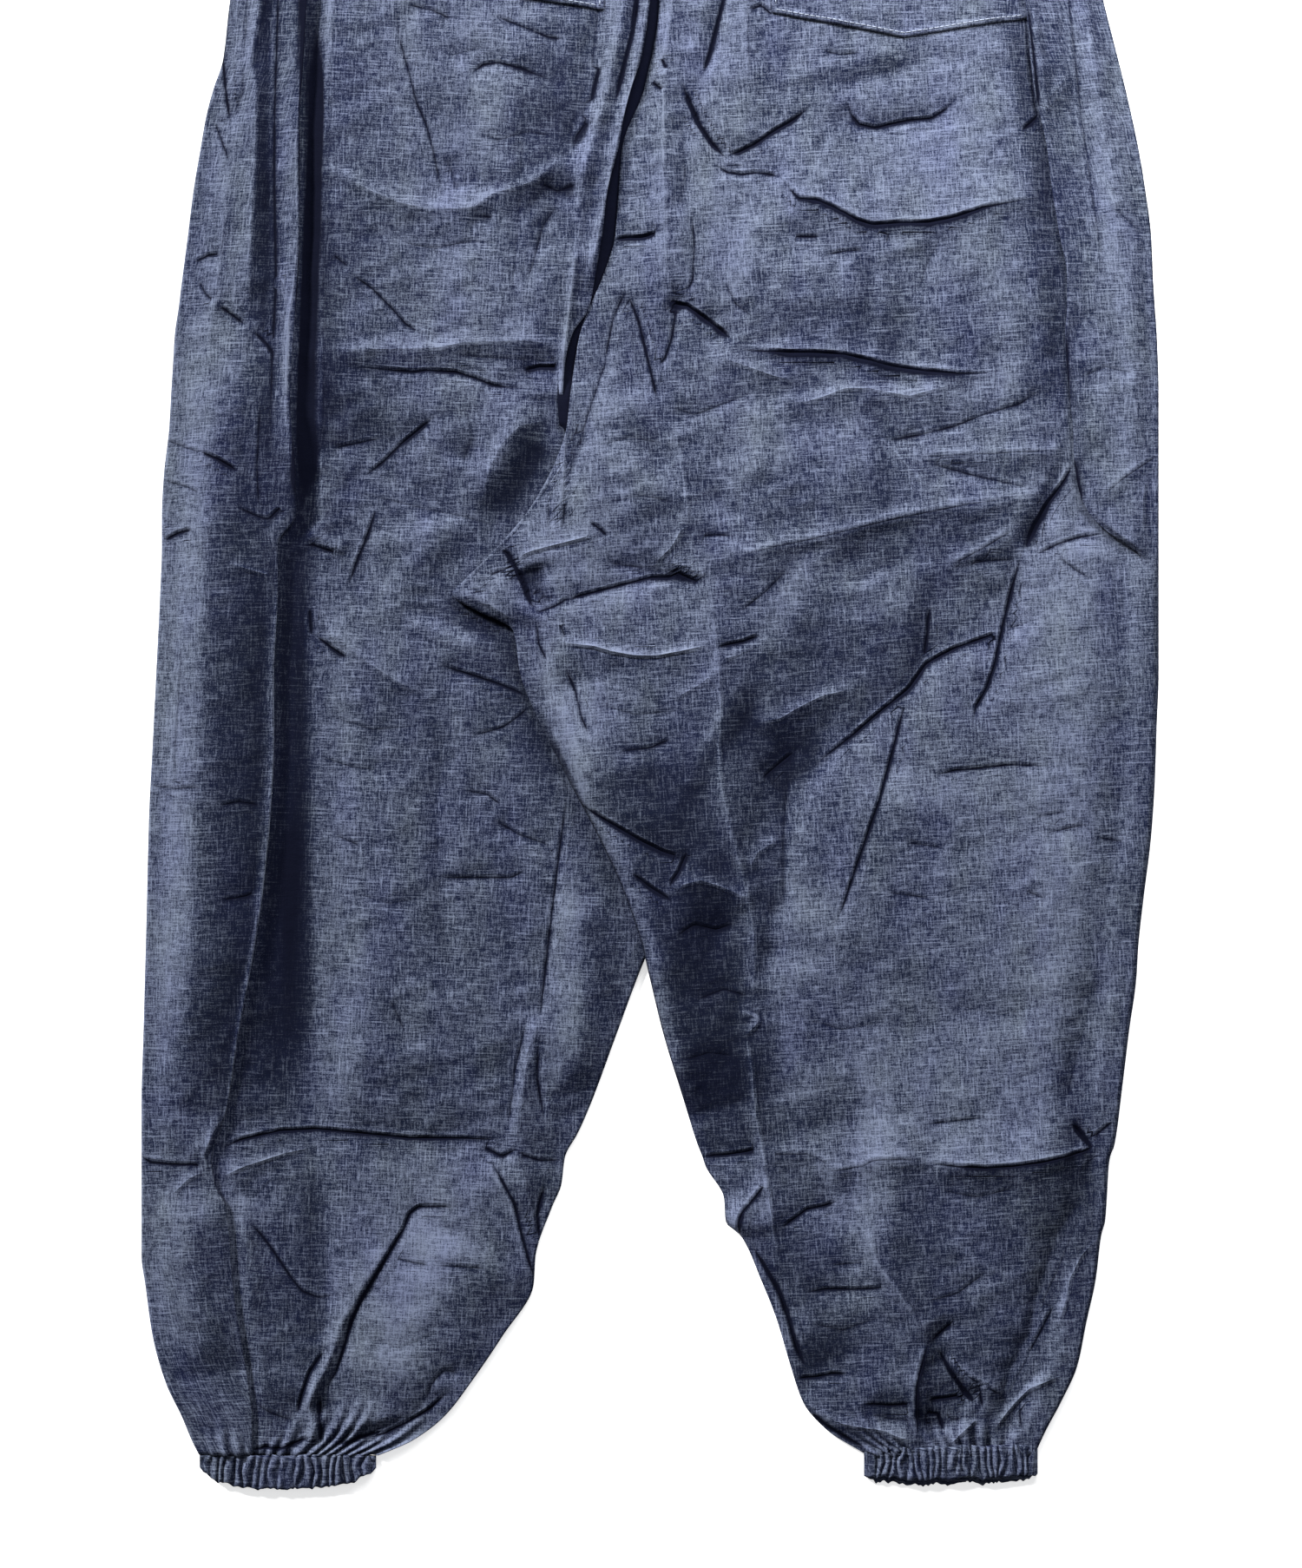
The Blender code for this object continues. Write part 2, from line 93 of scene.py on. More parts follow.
# The fold of a strip along the side seam, and how far its creases may sink.
FOLD_WIDTH = 7.0
FOLD_POINT = 1.3
STRIP_SUNK = 0.8

# Where the right leg lies on the left one.
CROSSING_MARGIN = 6.0
CROSSING_RUN = 30.0
CROSSING_BEGIN_RUN = 20.0
CROSSING_END_RUN = 36.0
CROSSING_ROOM = 9.0
BULGE = 1.6
BULGE_PLACE = 24.0
BULGE_WIDTH = 15.0

# The gathers that run up and down from the elastic.
WAIST_GATHER_PITCH = 17.0
WAIST_GATHER_RUN = 130.0
WAIST_GATHER_HEIGHT = 1.8
HEM_GATHER_PITCH = 6.5
HEM_GATHER_RUN = 34.0
HEM_GATHER_HEIGHT = 2.4
STRIP_GATHER_HEIGHT = 2.2


class LeftSection(NamedTuple):
    """One level of the left leg: where its outer edge, its side seam and its inner edge are."""

    y: float
    outer: float
    seam: float
    inner: float


class RightSection(NamedTuple):
    """One level of the right leg: its inner edge, the side seam and the outer edge."""

    y: float
    inner: float
    seam: float
    outer: float


LEFT_LEG = (
    LeftSection(463, -186, -158, 4),
    LeftSection(400, -202, -170, 4),
    LeftSection(350, -216, -178, 3),
    LeftSection(303, -227, -185, 0),
    LeftSection(270, -231, -187, -5),
    LeftSection(255, -236, -188, -10),
    LeftSection(240, -240, -189, -14),
    LeftSection(223, -243, -189, -17),
    LeftSection(199, -247, -189, -23),
    LeftSection(175, -250, -189, -26),
    LeftSection(152, -253, -190, -30),
    LeftSection(136, -255, -191, -33),
    LeftSection(122, -257, -192, -42),
    LeftSection(106, -258, -193, -46),
    LeftSection(90, -259, -194, -47),
    LeftSection(72, -260, -193, -46),
    LeftSection(45, -263, -191, -14),
    LeftSection(24, -264, -191, 20),
    LeftSection(8, -264, -201, 38),
    LeftSection(-19, -265, -201, 55),
    LeftSection(-60, -267, -203, 58),
    LeftSection(-100, -269, -203, 48),
    LeftSection(-140, -271, -205, 32),
    LeftSection(-180, -272, -209, 14),
    LeftSection(-219, -273, -215, -4),
    LeftSection(-256, -274, -222, -18),
    LeftSection(-294, -275, -228, -32),
    LeftSection(-310, -275, -233, -39),
    LeftSection(-323, -275, -237, -46),
    LeftSection(-338, -275, -235, -48),
    LeftSection(-350, -275, -229, -53),
    LeftSection(-377, -275, -226, -62),
    LeftSection(-392, -273, -225, -63),
    LeftSection(-420, -269, -221, -80),
    LeftSection(-445, -262, -217, -97),
    LeftSection(-464, -253, -215, -112),
    LeftSection(-476, -248, -215, -128),
    LeftSection(-484, -244, -215, -147),
)

RIGHT_LEG = (
    RightSection(463, 5, 180, 196),
    RightSection(400, 5, 189, 219),
    RightSection(350, 5, 196, 234),
    RightSection(303, 5, 202, 245),
    RightSection(255, -3, 207, 257),
    RightSection(223, -15, 214, 264),
    RightSection(199, -17, 217, 268),
    RightSection(175, -19, 221, 271),
    RightSection(152, -26, 225, 272),
    RightSection(136, -33, 225, 273),
    RightSection(122, -38, 224, 274),
    RightSection(90, -43, 226, 275),
    RightSection(72, -45, 228, 275),
    RightSection(53, -51, 229, 275),
    RightSection(39, -58, 231, 275),
    RightSection(26, -66, 236, 275),
    RightSection(15, -75, 247, 275),
    RightSection(0, -89, 266, 275),
    RightSection(-12, -101, 267, 275),
    RightSection(-19, -107, 267, 275),
    RightSection(-27, -95, 267, 275),
    RightSection(-38, -74, 267, 275),
    RightSection(-62, -70, 267, 275),
    RightSection(-89, -59, 266, 274),
    RightSection(-119, -44, 265, 273),
    RightSection(-149, -28, 263, 271),
    RightSection(-182, -13, 259, 267),
    RightSection(-209, -4, 256, 264),
    RightSection(-226, 0, 255, 263),
    RightSection(-255, 7, 251, 259),
    RightSection(-288, 17, 247, 255),
    RightSection(-317, 26, 243, 251),
    RightSection(-322, 28, 241, 249),
    RightSection(-328, 30, 240, 248),
    RightSection(-345, 40, 239, 247),
    RightSection(-358, 41, 238, 246),
    RightSection(-365, 49, 236, 244),
    RightSection(-389, 60, 233, 241),
    RightSection(-412, 69, 228, 236),
    RightSection(-436, 76, 223, 231),
    RightSection(-456, 83, 214, 222),
    RightSection(-471, 96, 206, 214),
    RightSection(-484, 117, 200, 208),
)


class Crease(NamedTuple):
    """A fold in the cloth: its path, its height (a trough has less than none), and how far each side slopes.

    left and right are as seen along the path. point is 0.8 for a pressed crease and 2 for a soft roll.
    line is how dark the painted shade line along the fold is, and less than 0 where it is a pale painted
    highlight edge.
    """

    path: tuple
    height: float
    left: float
    right: float
    point: float
    line: float = 0.0


# The creases, listed piece by piece.
LEFT_STRIP_CREASES = (
    Crease((
        (-196, 440), (-210, 303), (-213, 285), (-216, 268), (-213, 256), (-213, 220), (-216, 160),
        (-217, 126),
    ), 4.4, 4, 12, 0.9, -0.3),
    Crease((
        (-190, 440), (-201, 303), (-203, 240), (-203, 200), (-202, 150), (-204, 110), (-205, 56),
    ), -2.2, 4, 6, 1.2, 0.45),
    Crease(((-222, 350), (-228, 300), (-231, 270), (-229, 250), (-226, 230)), -1.8, 3, 3, 1.0, 0.7),
    Crease(((-216, 330), (-219, 280), (-220, 252), (-226, 234)), -2.0, 4, 4, 1.5, 0.2),
    Crease(((-236, 238), (-231, 225), (-227, 214)), -0.8, 2, 3, 1.0, 0.45),
    Crease(((-227, 212), (-229, 190), (-232, 165), (-235, 140), (-238, 110)), 1.2, 6, 4, 1.0, -0.2),
    Crease(((-247, 160), (-239, 164), (-231, 165)), -1.4, 3, 4, 1.0, 0.5),
    Crease(((-244, 151), (-240, 143), (-235, 139)), -1.0, 3, 3, 1.0, 0.4),
    Crease(((-233, 137), (-226, 132), (-218, 126)), -1.4, 3, 4, 1.0, 0.6),
    Crease(((-214, 123), (-207, 116), (-202, 108)), -1.4, 3, 3, 1.0, 0.6),
    Crease(((-201, 154), (-195, 144)), 0.9, 2, 2, 1.0, -0.6),
    Crease(((-263, 65), (-250, 60), (-241, 57)), -1.0, 5, 4, 1.0, 0.3),
    Crease(((-243, 58), (-232, 53), (-222, 47)), -1.8, 4, 4, 0.9, 0.85),
    Crease(((-264, 43), (-250, 39), (-242, 35)), -0.9, 4, 4, 1.0, 0.35),
    Crease(((-210, 90), (-212, 50), (-211, 26)), -2.8, 6, 7, 1.5, 0.3),
    Crease(((-223, 28), (-212, 23), (-201, 20)), -1.0, 5, 4, 1.0, 0.35),
    Crease(((-206, 21), (-199, 28)), -1.2, 3, 3, 1.0, 0.7),
    Crease(((-263, 10), (-255, 14), (-246, 16)), -1.6, 3, 4, 0.9, 0.9),
    Crease(((-265, 22), (-258, 13)), 1.2, 3, 3, 1.0, -0.4),
    Crease(((-228, -2), (-215, -6), (-204, -9)), 0.6, 3, 4, 1.0, -0.4),
    Crease(((-252, -42), (-254, -70), (-256, -100), (-257, -145)), 0.9, 6, 6, 1.0, 0.25),
    Crease(((-272, -122), (-256, -124), (-240, -123)), -0.8, 4, 5, 1.0, 0.3),
    Crease(((-232, -133), (-222, -131), (-210, -133)), -0.9, 4, 4, 1.0, 0.35),
    Crease(((-232, -184), (-218, -182), (-207, -177)), -1.0, 4, 5, 1.0, 0.35),
    Crease(((-262, -60), (-234, -72), (-214, -66)), 0.9, 8, 9, 2.0),
    Crease(((-270, -210), (-240, -216), (-222, -210)), 0.8, 8, 9, 2.0),
    Crease(((-230, -298), (-237, -312), (-241, -322), (-238, -332)), 2.0, 3, 4, 0.9, -0.5),
    Crease(((-276, -322), (-270, -326), (-258, -327), (-248, -327), (-238, -328)), -2.2, 6, 10, 0.9, 0.65),
    Crease(((-258, -343), (-250, -335), (-241, -330)), 1.5, 4, 4, 0.9, -0.3),
    Crease(((-262, -408), (-244, -424), (-226, -425)), -0.9, 9, 8, 1.8),
    Crease(((-260, -452), (-244, -468), (-230, -470)), -1.2, 7, 7, 1.5, 0.15),
    Crease((
        (-187, 330), (-190, 240), (-191, 220), (-190, 175), (-192, 150), (-195, 128), (-196, 100), (-196, 75),
        (-193, 40),
    ), 1.0, 2, 3, 1.0, -1.0),
    Crease(((-191, 46), (-189, 32), (-190, 16)), 0.5, 2, 3, 1.0, -0.3),
    Crease((
        (-201, 22), (-201, -20), (-203, -60), (-203, -100), (-205, -140), (-209, -180), (-215, -219),
        (-222, -256), (-228, -294), (-234, -314),
    ), 0.9, 2, 3, 1.0, -1.0),
)

RIGHT_STRIP_CREASES = (
    Crease(((206, 420), (226, 303), (233, 240), (240, 190), (246, 150)), -2.4, 4, 5, 1.2, 0.25),
    Crease(((218, 430), (236, 303), (242, 250), (250, 200), (254, 150)), 2.2, 7, 6, 1.2),
    Crease(((203, 303), (208, 262), (210, 240)), -1.8, 3, 3, 1.0, 0.6),
    Crease(((206, 303), (214, 246), (228, 262)), 1.6, 4, 6, 1.0, 0.2),
    Crease(((262, 220), (264, 130), (262, 60)), 1.3, 8, 8, 2.0),
    Crease(((224, 130), (226, 90), (227, 52)), -1.2, 3, 3, 1.0, 0.5),
    Crease(((228, 56), (231, 40), (233, 29)), -1.8, 3, 3, 0.9, 0.95),
    Crease(((243, 33), (255, 43), (268, 52), (276, 57)), 1.8, 7, 6, 0.9, 0.3),
    Crease(((268, 48), (266, 30), (266, 18), (273, 6)), 1.0, 3, 3, 1.0, -0.35),
    Crease(((230, 24), (245, 16), (258, 9), (273, -3)), 2.6, 6, 4, 0.9, -0.45),
    Crease(((236, 15), (250, 8), (264, -2)), -1.4, 3, 4, 0.9, 0.4),
    Crease(((236, 130), (246, 96), (240, 60)), 1.1, 7, 7, 2.0),
    Crease(((250, 190), (266, 176)), -0.8, 4, 5, 1.2, 0.2),
    Crease(((232, 98), (246, 104), (262, 100)), -0.9, 5, 5, 1.2, 0.2),
)

LEFT_BACK_CREASES = (
    # The rolled centre seam.
    Crease((
        (-1, 440), (-1, 303), (-8, 262), (-13, 243), (-17, 230), (-22, 205), (-27, 180), (-31, 160),
        (-34, 146),
    ), 4.6, 4, 6, 0.9, -0.5),
    Crease(((-6, 440), (-7, 303), (-9, 285), (-15, 262), (-19, 245)), -1.8, 2, 3, 1.0, 0.7),
    Crease((
        (-14, 440), (-13, 303), (-20, 270), (-26, 245), (-32, 225), (-37, 205), (-39, 176),
    ), 3.2, 5, 4, 1.5),
    Crease(((-26, 440), (-28, 303), (-29, 290), (-32, 262), (-38, 232), (-45, 213)), -3.0, 6, 9, 1.4, 0.15),
    Crease(((-27, 268), (-32, 246)), -1.6, 4, 4, 1.5, 0.6),
    Crease(((-33, 238), (-41, 227)), -1.6, 5, 5, 1.5, 0.5),
    Crease(((-39, 176), (-42, 150), (-45, 125), (-47, 108), (-48, 90), (-47, 72)), 2.2, 3, 3, 0.9, -0.9),
    # The upper panel, below the pocket.
    Crease((
        (-138, 306), (-135, 280), (-130, 262), (-126, 246), (-121, 235), (-117, 220), (-114, 205),
        (-112, 194),
    ), -1.8, 6, 5, 1.1, 0.4),
    Crease(((-110, 218), (-104, 198)), -1.8, 10, 5, 1.6, 0.15),
    Crease((
        (-178, 212), (-165, 206), (-150, 198), (-135, 192), (-120, 189), (-105, 189), (-95, 190), (-85, 197),
        (-75, 200), (-62, 204), (-52, 213), (-38, 214),
    ), 3.4, 6, 10, 0.9, -0.25),
    Crease(((-62, 204), (-50, 199), (-38, 203)), -2.6, 4, 14, 1.3, 0.25),
    Crease(((-97, 187), (-84, 184)), -1.8, 5, 9, 1.5, 0.2),
    Crease(((-50, 192), (-58, 180), (-62, 165), (-67, 146)), -1.6, 6, 6, 1.2, 0.25),
    Crease(((-132, 299), (-118, 296), (-106, 291)), -1.5, 4, 5, 1.2, 0.3),
    Crease(((-86, 294), (-70, 288), (-55, 282), (-46, 281)), -1.8, 4, 5, 1.1, 0.4),
    Crease(((-98, 261), (-90, 267), (-82, 268), (-70, 265), (-52, 258)), -2.2, 5, 6, 1.1, 0.5),
    Crease(((-110, 271), (-88, 277)), -1.2, 6, 5, 1.5, 0.15),
    Crease(((-92, 230), (-82, 226), (-66, 231), (-50, 228)), -1.0, 5, 6, 1.2, 0.2),
    Crease(((-171, 164), (-162, 157)), -0.8, 2, 3, 1.0, 0.35),
    Crease(((-163, 155), (-150, 146), (-140, 136), (-132, 127), (-121, 120)), -1.4, 5, 6, 0.9, 0.5),
    Crease(((-136, 171), (-116, 168), (-96, 172), (-80, 170)), -1.1, 5, 6, 1.1, 0.2),
    Crease(((-68, 262), (-70, 200), (-74, 150), (-72, 124)), -0.9, 5, 5, 1.5, 0.1),
    Crease(((-96, 160), (-110, 140), (-96, 130), (-70, 134)), 0.9, 6, 7, 1.2),
    Crease((
        (-178, 113), (-150, 113), (-115, 114), (-100, 117), (-70, 118), (-46, 116),
    ), 3.2, 7, 10, 0.9, -0.25),
    Crease(((-108, 111), (-90, 109), (-70, 108), (-50, 109)), -1.2, 4, 6, 1.2, 0.2),
    Crease((
        (-166, 104), (-140, 102), (-128, 101), (-120, 102), (-105, 101), (-95, 98), (-85, 94), (-78, 93),
        (-62, 92),
    ), -2.2, 5, 6, 0.9, 0.65),
    Crease(((-69, 102), (-60, 104), (-47, 104)), -2.4, 4, 6, 1.0, 1.0),
    # The middle, beside the right leg's flap.
    Crease(((-156, 44), (-145, 52), (-135, 62), (-125, 70), (-117, 77)), -2.4, 4, 8, 0.9, 0.7),
    Crease(((-172, 60), (-158, 63), (-144, 66)), -1.3, 3, 4, 1.0, 0.35),
    Crease(((-100, 84), (-96, 66), (-102, 50)), -1.2, 6, 6, 1.4, 0.1),
    Crease(((-92, 28), (-87, 48), (-80, 62), (-70, 72), (-50, 77)), 4.2, 8, 24, 0.9, -0.2),
    Crease(((-168, 38), (-140, 32), (-120, 27), (-100, 23), (-80, 17)), -3.0, 18, 9, 0.9, 0.15),
    Crease(((-148, 28), (-152, 15), (-158, 0), (-164, -16)), -2.2, 5, 6, 0.9, 0.7),
    Crease(((-185, 15), (-175, 9), (-165, 4)), 1.8, 4, 4, 0.9, -0.3),
    Crease(((-186, 9), (-168, 3)), -1.4, 3, 4, 0.9, 0.5),
    Crease(((-184, -26), (-183, -42)), -1.4, 3, 3, 1.0, 0.6),
    Crease(((-179, -37), (-168, -44), (-152, -56), (-136, -66), (-122, -73)), 2.2, 6, 4, 0.9, -0.15),
    Crease(((-181, -41), (-172, -48), (-163, -54)), -1.6, 3, 4, 0.9, 0.7),
    Crease(((-114, -57), (-95, -63), (-80, -68), (-66, -74)), -2.6, 9, 8, 1.0, 0.6),
    Crease(((-98, -96), (-80, -91), (-70, -84), (-66, -80)), -1.8, 7, 7, 1.0, 0.4),
    Crease(((-106, -21), (-94, -27), (-84, -32), (-74, -38)), -2.4, 4, 5, 1.0, 1.0),
    Crease(((-136, 8), (-132, -20), (-138, -48)), -0.9, 8, 8, 1.6, 0.1),
    Crease(((-176, -84), (-150, -92), (-124, -90)), -0.9, 6, 7, 1.2, 0.15),
    Crease(((-170, 92), (-160, 80), (-142, 84)), 0.9, 6, 6, 1.2),
    # The shin.
    Crease(((-112, -92), (-116, -140), (-114, -190), (-106, -232)), -1.6, 7, 7, 1.6, 0.05),
    Crease(((-180, -106), (-162, -112), (-146, -114)), -1.2, 6, 7, 1.1, 0.2),
    Crease(((-170, -149), (-156, -155)), -1.0, 4, 4, 1.1, 0.3),
    Crease(((-100, -125), (-88, -127), (-80, -133)), -1.0, 4, 4, 1.0, 0.35),
    Crease(((-84, -141), (-70, -149), (-50, -156)), -1.6, 6, 4, 1.0, 0.3),
    Crease(((-116, -172), (-95, -172), (-75, -172), (-67, -168)), -1.2, 4, 5, 0.9, 0.4),
    Crease((
        (-44, -122), (-48, -150), (-51, -175), (-54, -200), (-58, -235), (-60, -252),
    ), -2.0, 4, 6, 1.1, 0.45),
    Crease(((-60, -246), (-64, -262), (-69, -285), (-73, -314)), 2.8, 6, 9, 0.9, -0.15),
    Crease(((-66, -246), (-73, -276), (-77, -312)), -2.2, 4, 9, 1.3, 0.35),
    Crease(((-60, -258), (-61, -280), (-57, -304)), -1.4, 3, 4, 1.0, 0.4),
    Crease(((-140, -238), (-132, -256)), -0.8, 4, 4, 1.2, 0.25),
    Crease(((-160, -180), (-140, -186), (-120, -182)), -0.9, 6, 7, 1.2, 0.12),
    Crease(((-166, -262), (-140, -270), (-112, -266)), 1.0, 8, 9, 1.2),
    # The knee.
    Crease((
        (-233, -319), (-222, -314), (-200, -309), (-180, -308), (-150, -311), (-130, -313), (-100, -313),
        (-74, -314),
    ), -3.4, 8, 12, 0.9, 0.85),
    Crease(((-232, -334), (-222, -329), (-210, -325), (-198, -321), (-178, -317)), 1.6, 4, 6, 0.9, -0.5),
    Crease(((-218, -348), (-205, -336), (-188, -334)), -1.6, 7, 7, 1.5, 0.1),
    Crease(((-92, -317), (-80, -323), (-71, -318)), -1.8, 4, 4, 1.0, 0.7),
    Crease((
        (-89, -319), (-80, -335), (-73, -348), (-70, -362), (-65, -380), (-62, -390),
    ), 2.4, 6, 6, 0.9, 0.75),
    Crease(((-74, -312), (-69, -335), (-63, -356), (-62, -384)), 2.0, 4, 6, 0.9, -0.1),
    Crease(((-57, -338), (-61, -354), (-60, -368)), -1.4, 3, 3, 1.0, 0.6),
    Crease(((-72, -321), (-60, -325), (-48, -325)), -1.6, 4, 6, 1.0, 0.4),
    # Below the knee.
    Crease((
        (-102, -353), (-110, -350), (-125, -350), (-130, -354), (-133, -362), (-144, -380), (-156, -400),
        (-161, -411), (-165, -425), (-170, -440), (-181, -455),
    ), -2.0, 4, 4, 0.9, 0.85),
    Crease((
        (-137, -364), (-156, -394), (-167, -414), (-172, -430), (-180, -447), (-187, -460),
    ), 3.0, 4, 8, 1.0, -0.1),
    Crease(((-183, -330), (-184, -380), (-182, -424)), -3.0, 8, 9, 1.6, 0.05),
    Crease(((-175, -426), (-184, -440), (-188, -452), (-191, -463)), -2.2, 3, 4, 1.0, 0.85),
    Crease(((-179, -438), (-184, -457), (-182, -468), (-181, -480)), 2.6, 3, 3, 1.0, -0.4),
    Crease(((-179, -452), (-178, -480)), -1.8, 3, 3, 1.0, 0.6),
    Crease((
        (-217, -358), (-211, -364), (-205, -372), (-193, -390), (-188, -396), (-180, -399), (-167, -398),
    ), -0.4, 2, 2, 1.0, 0.5),
    Crease(((-140, -377), (-128, -380), (-119, -381)), -1.1, 4, 5, 1.0, 0.4),
    Crease(((-114, -381), (-100, -382), (-88, -383)), -1.0, 4, 5, 1.0, 0.35),
    Crease(((-122, -456), (-117, -444), (-111, -438), (-102, -440)), -1.3, 5, 5, 1.2, 0.25),
    Crease(((-109, -450), (-120, -460), (-130, -466), (-140, -471), (-159, -481)), -2.0, 4, 5, 0.9, 0.8),
    Crease(((-126, -463), (-145, -471), (-160, -476), (-170, -479)), -1.8, 4, 4, 0.9, 0.7),
    Crease(((-138, -462), (-156, -467), (-172, -470)), 1.6, 5, 5, 1.0, -0.1),
    Crease(((-218, -482), (-208, -480), (-200, -481), (-190, -477), (-180, -473)), -1.8, 4, 5, 1.0, 0.75),
    Crease(((-214, -456), (-204, -462), (-192, -466)), -1.1, 5, 5, 1.2, 0.25),
    Crease(((-150, -420), (-136, -426), (-110, -416)), -0.9, 7, 8, 1.4, 0.1),
)

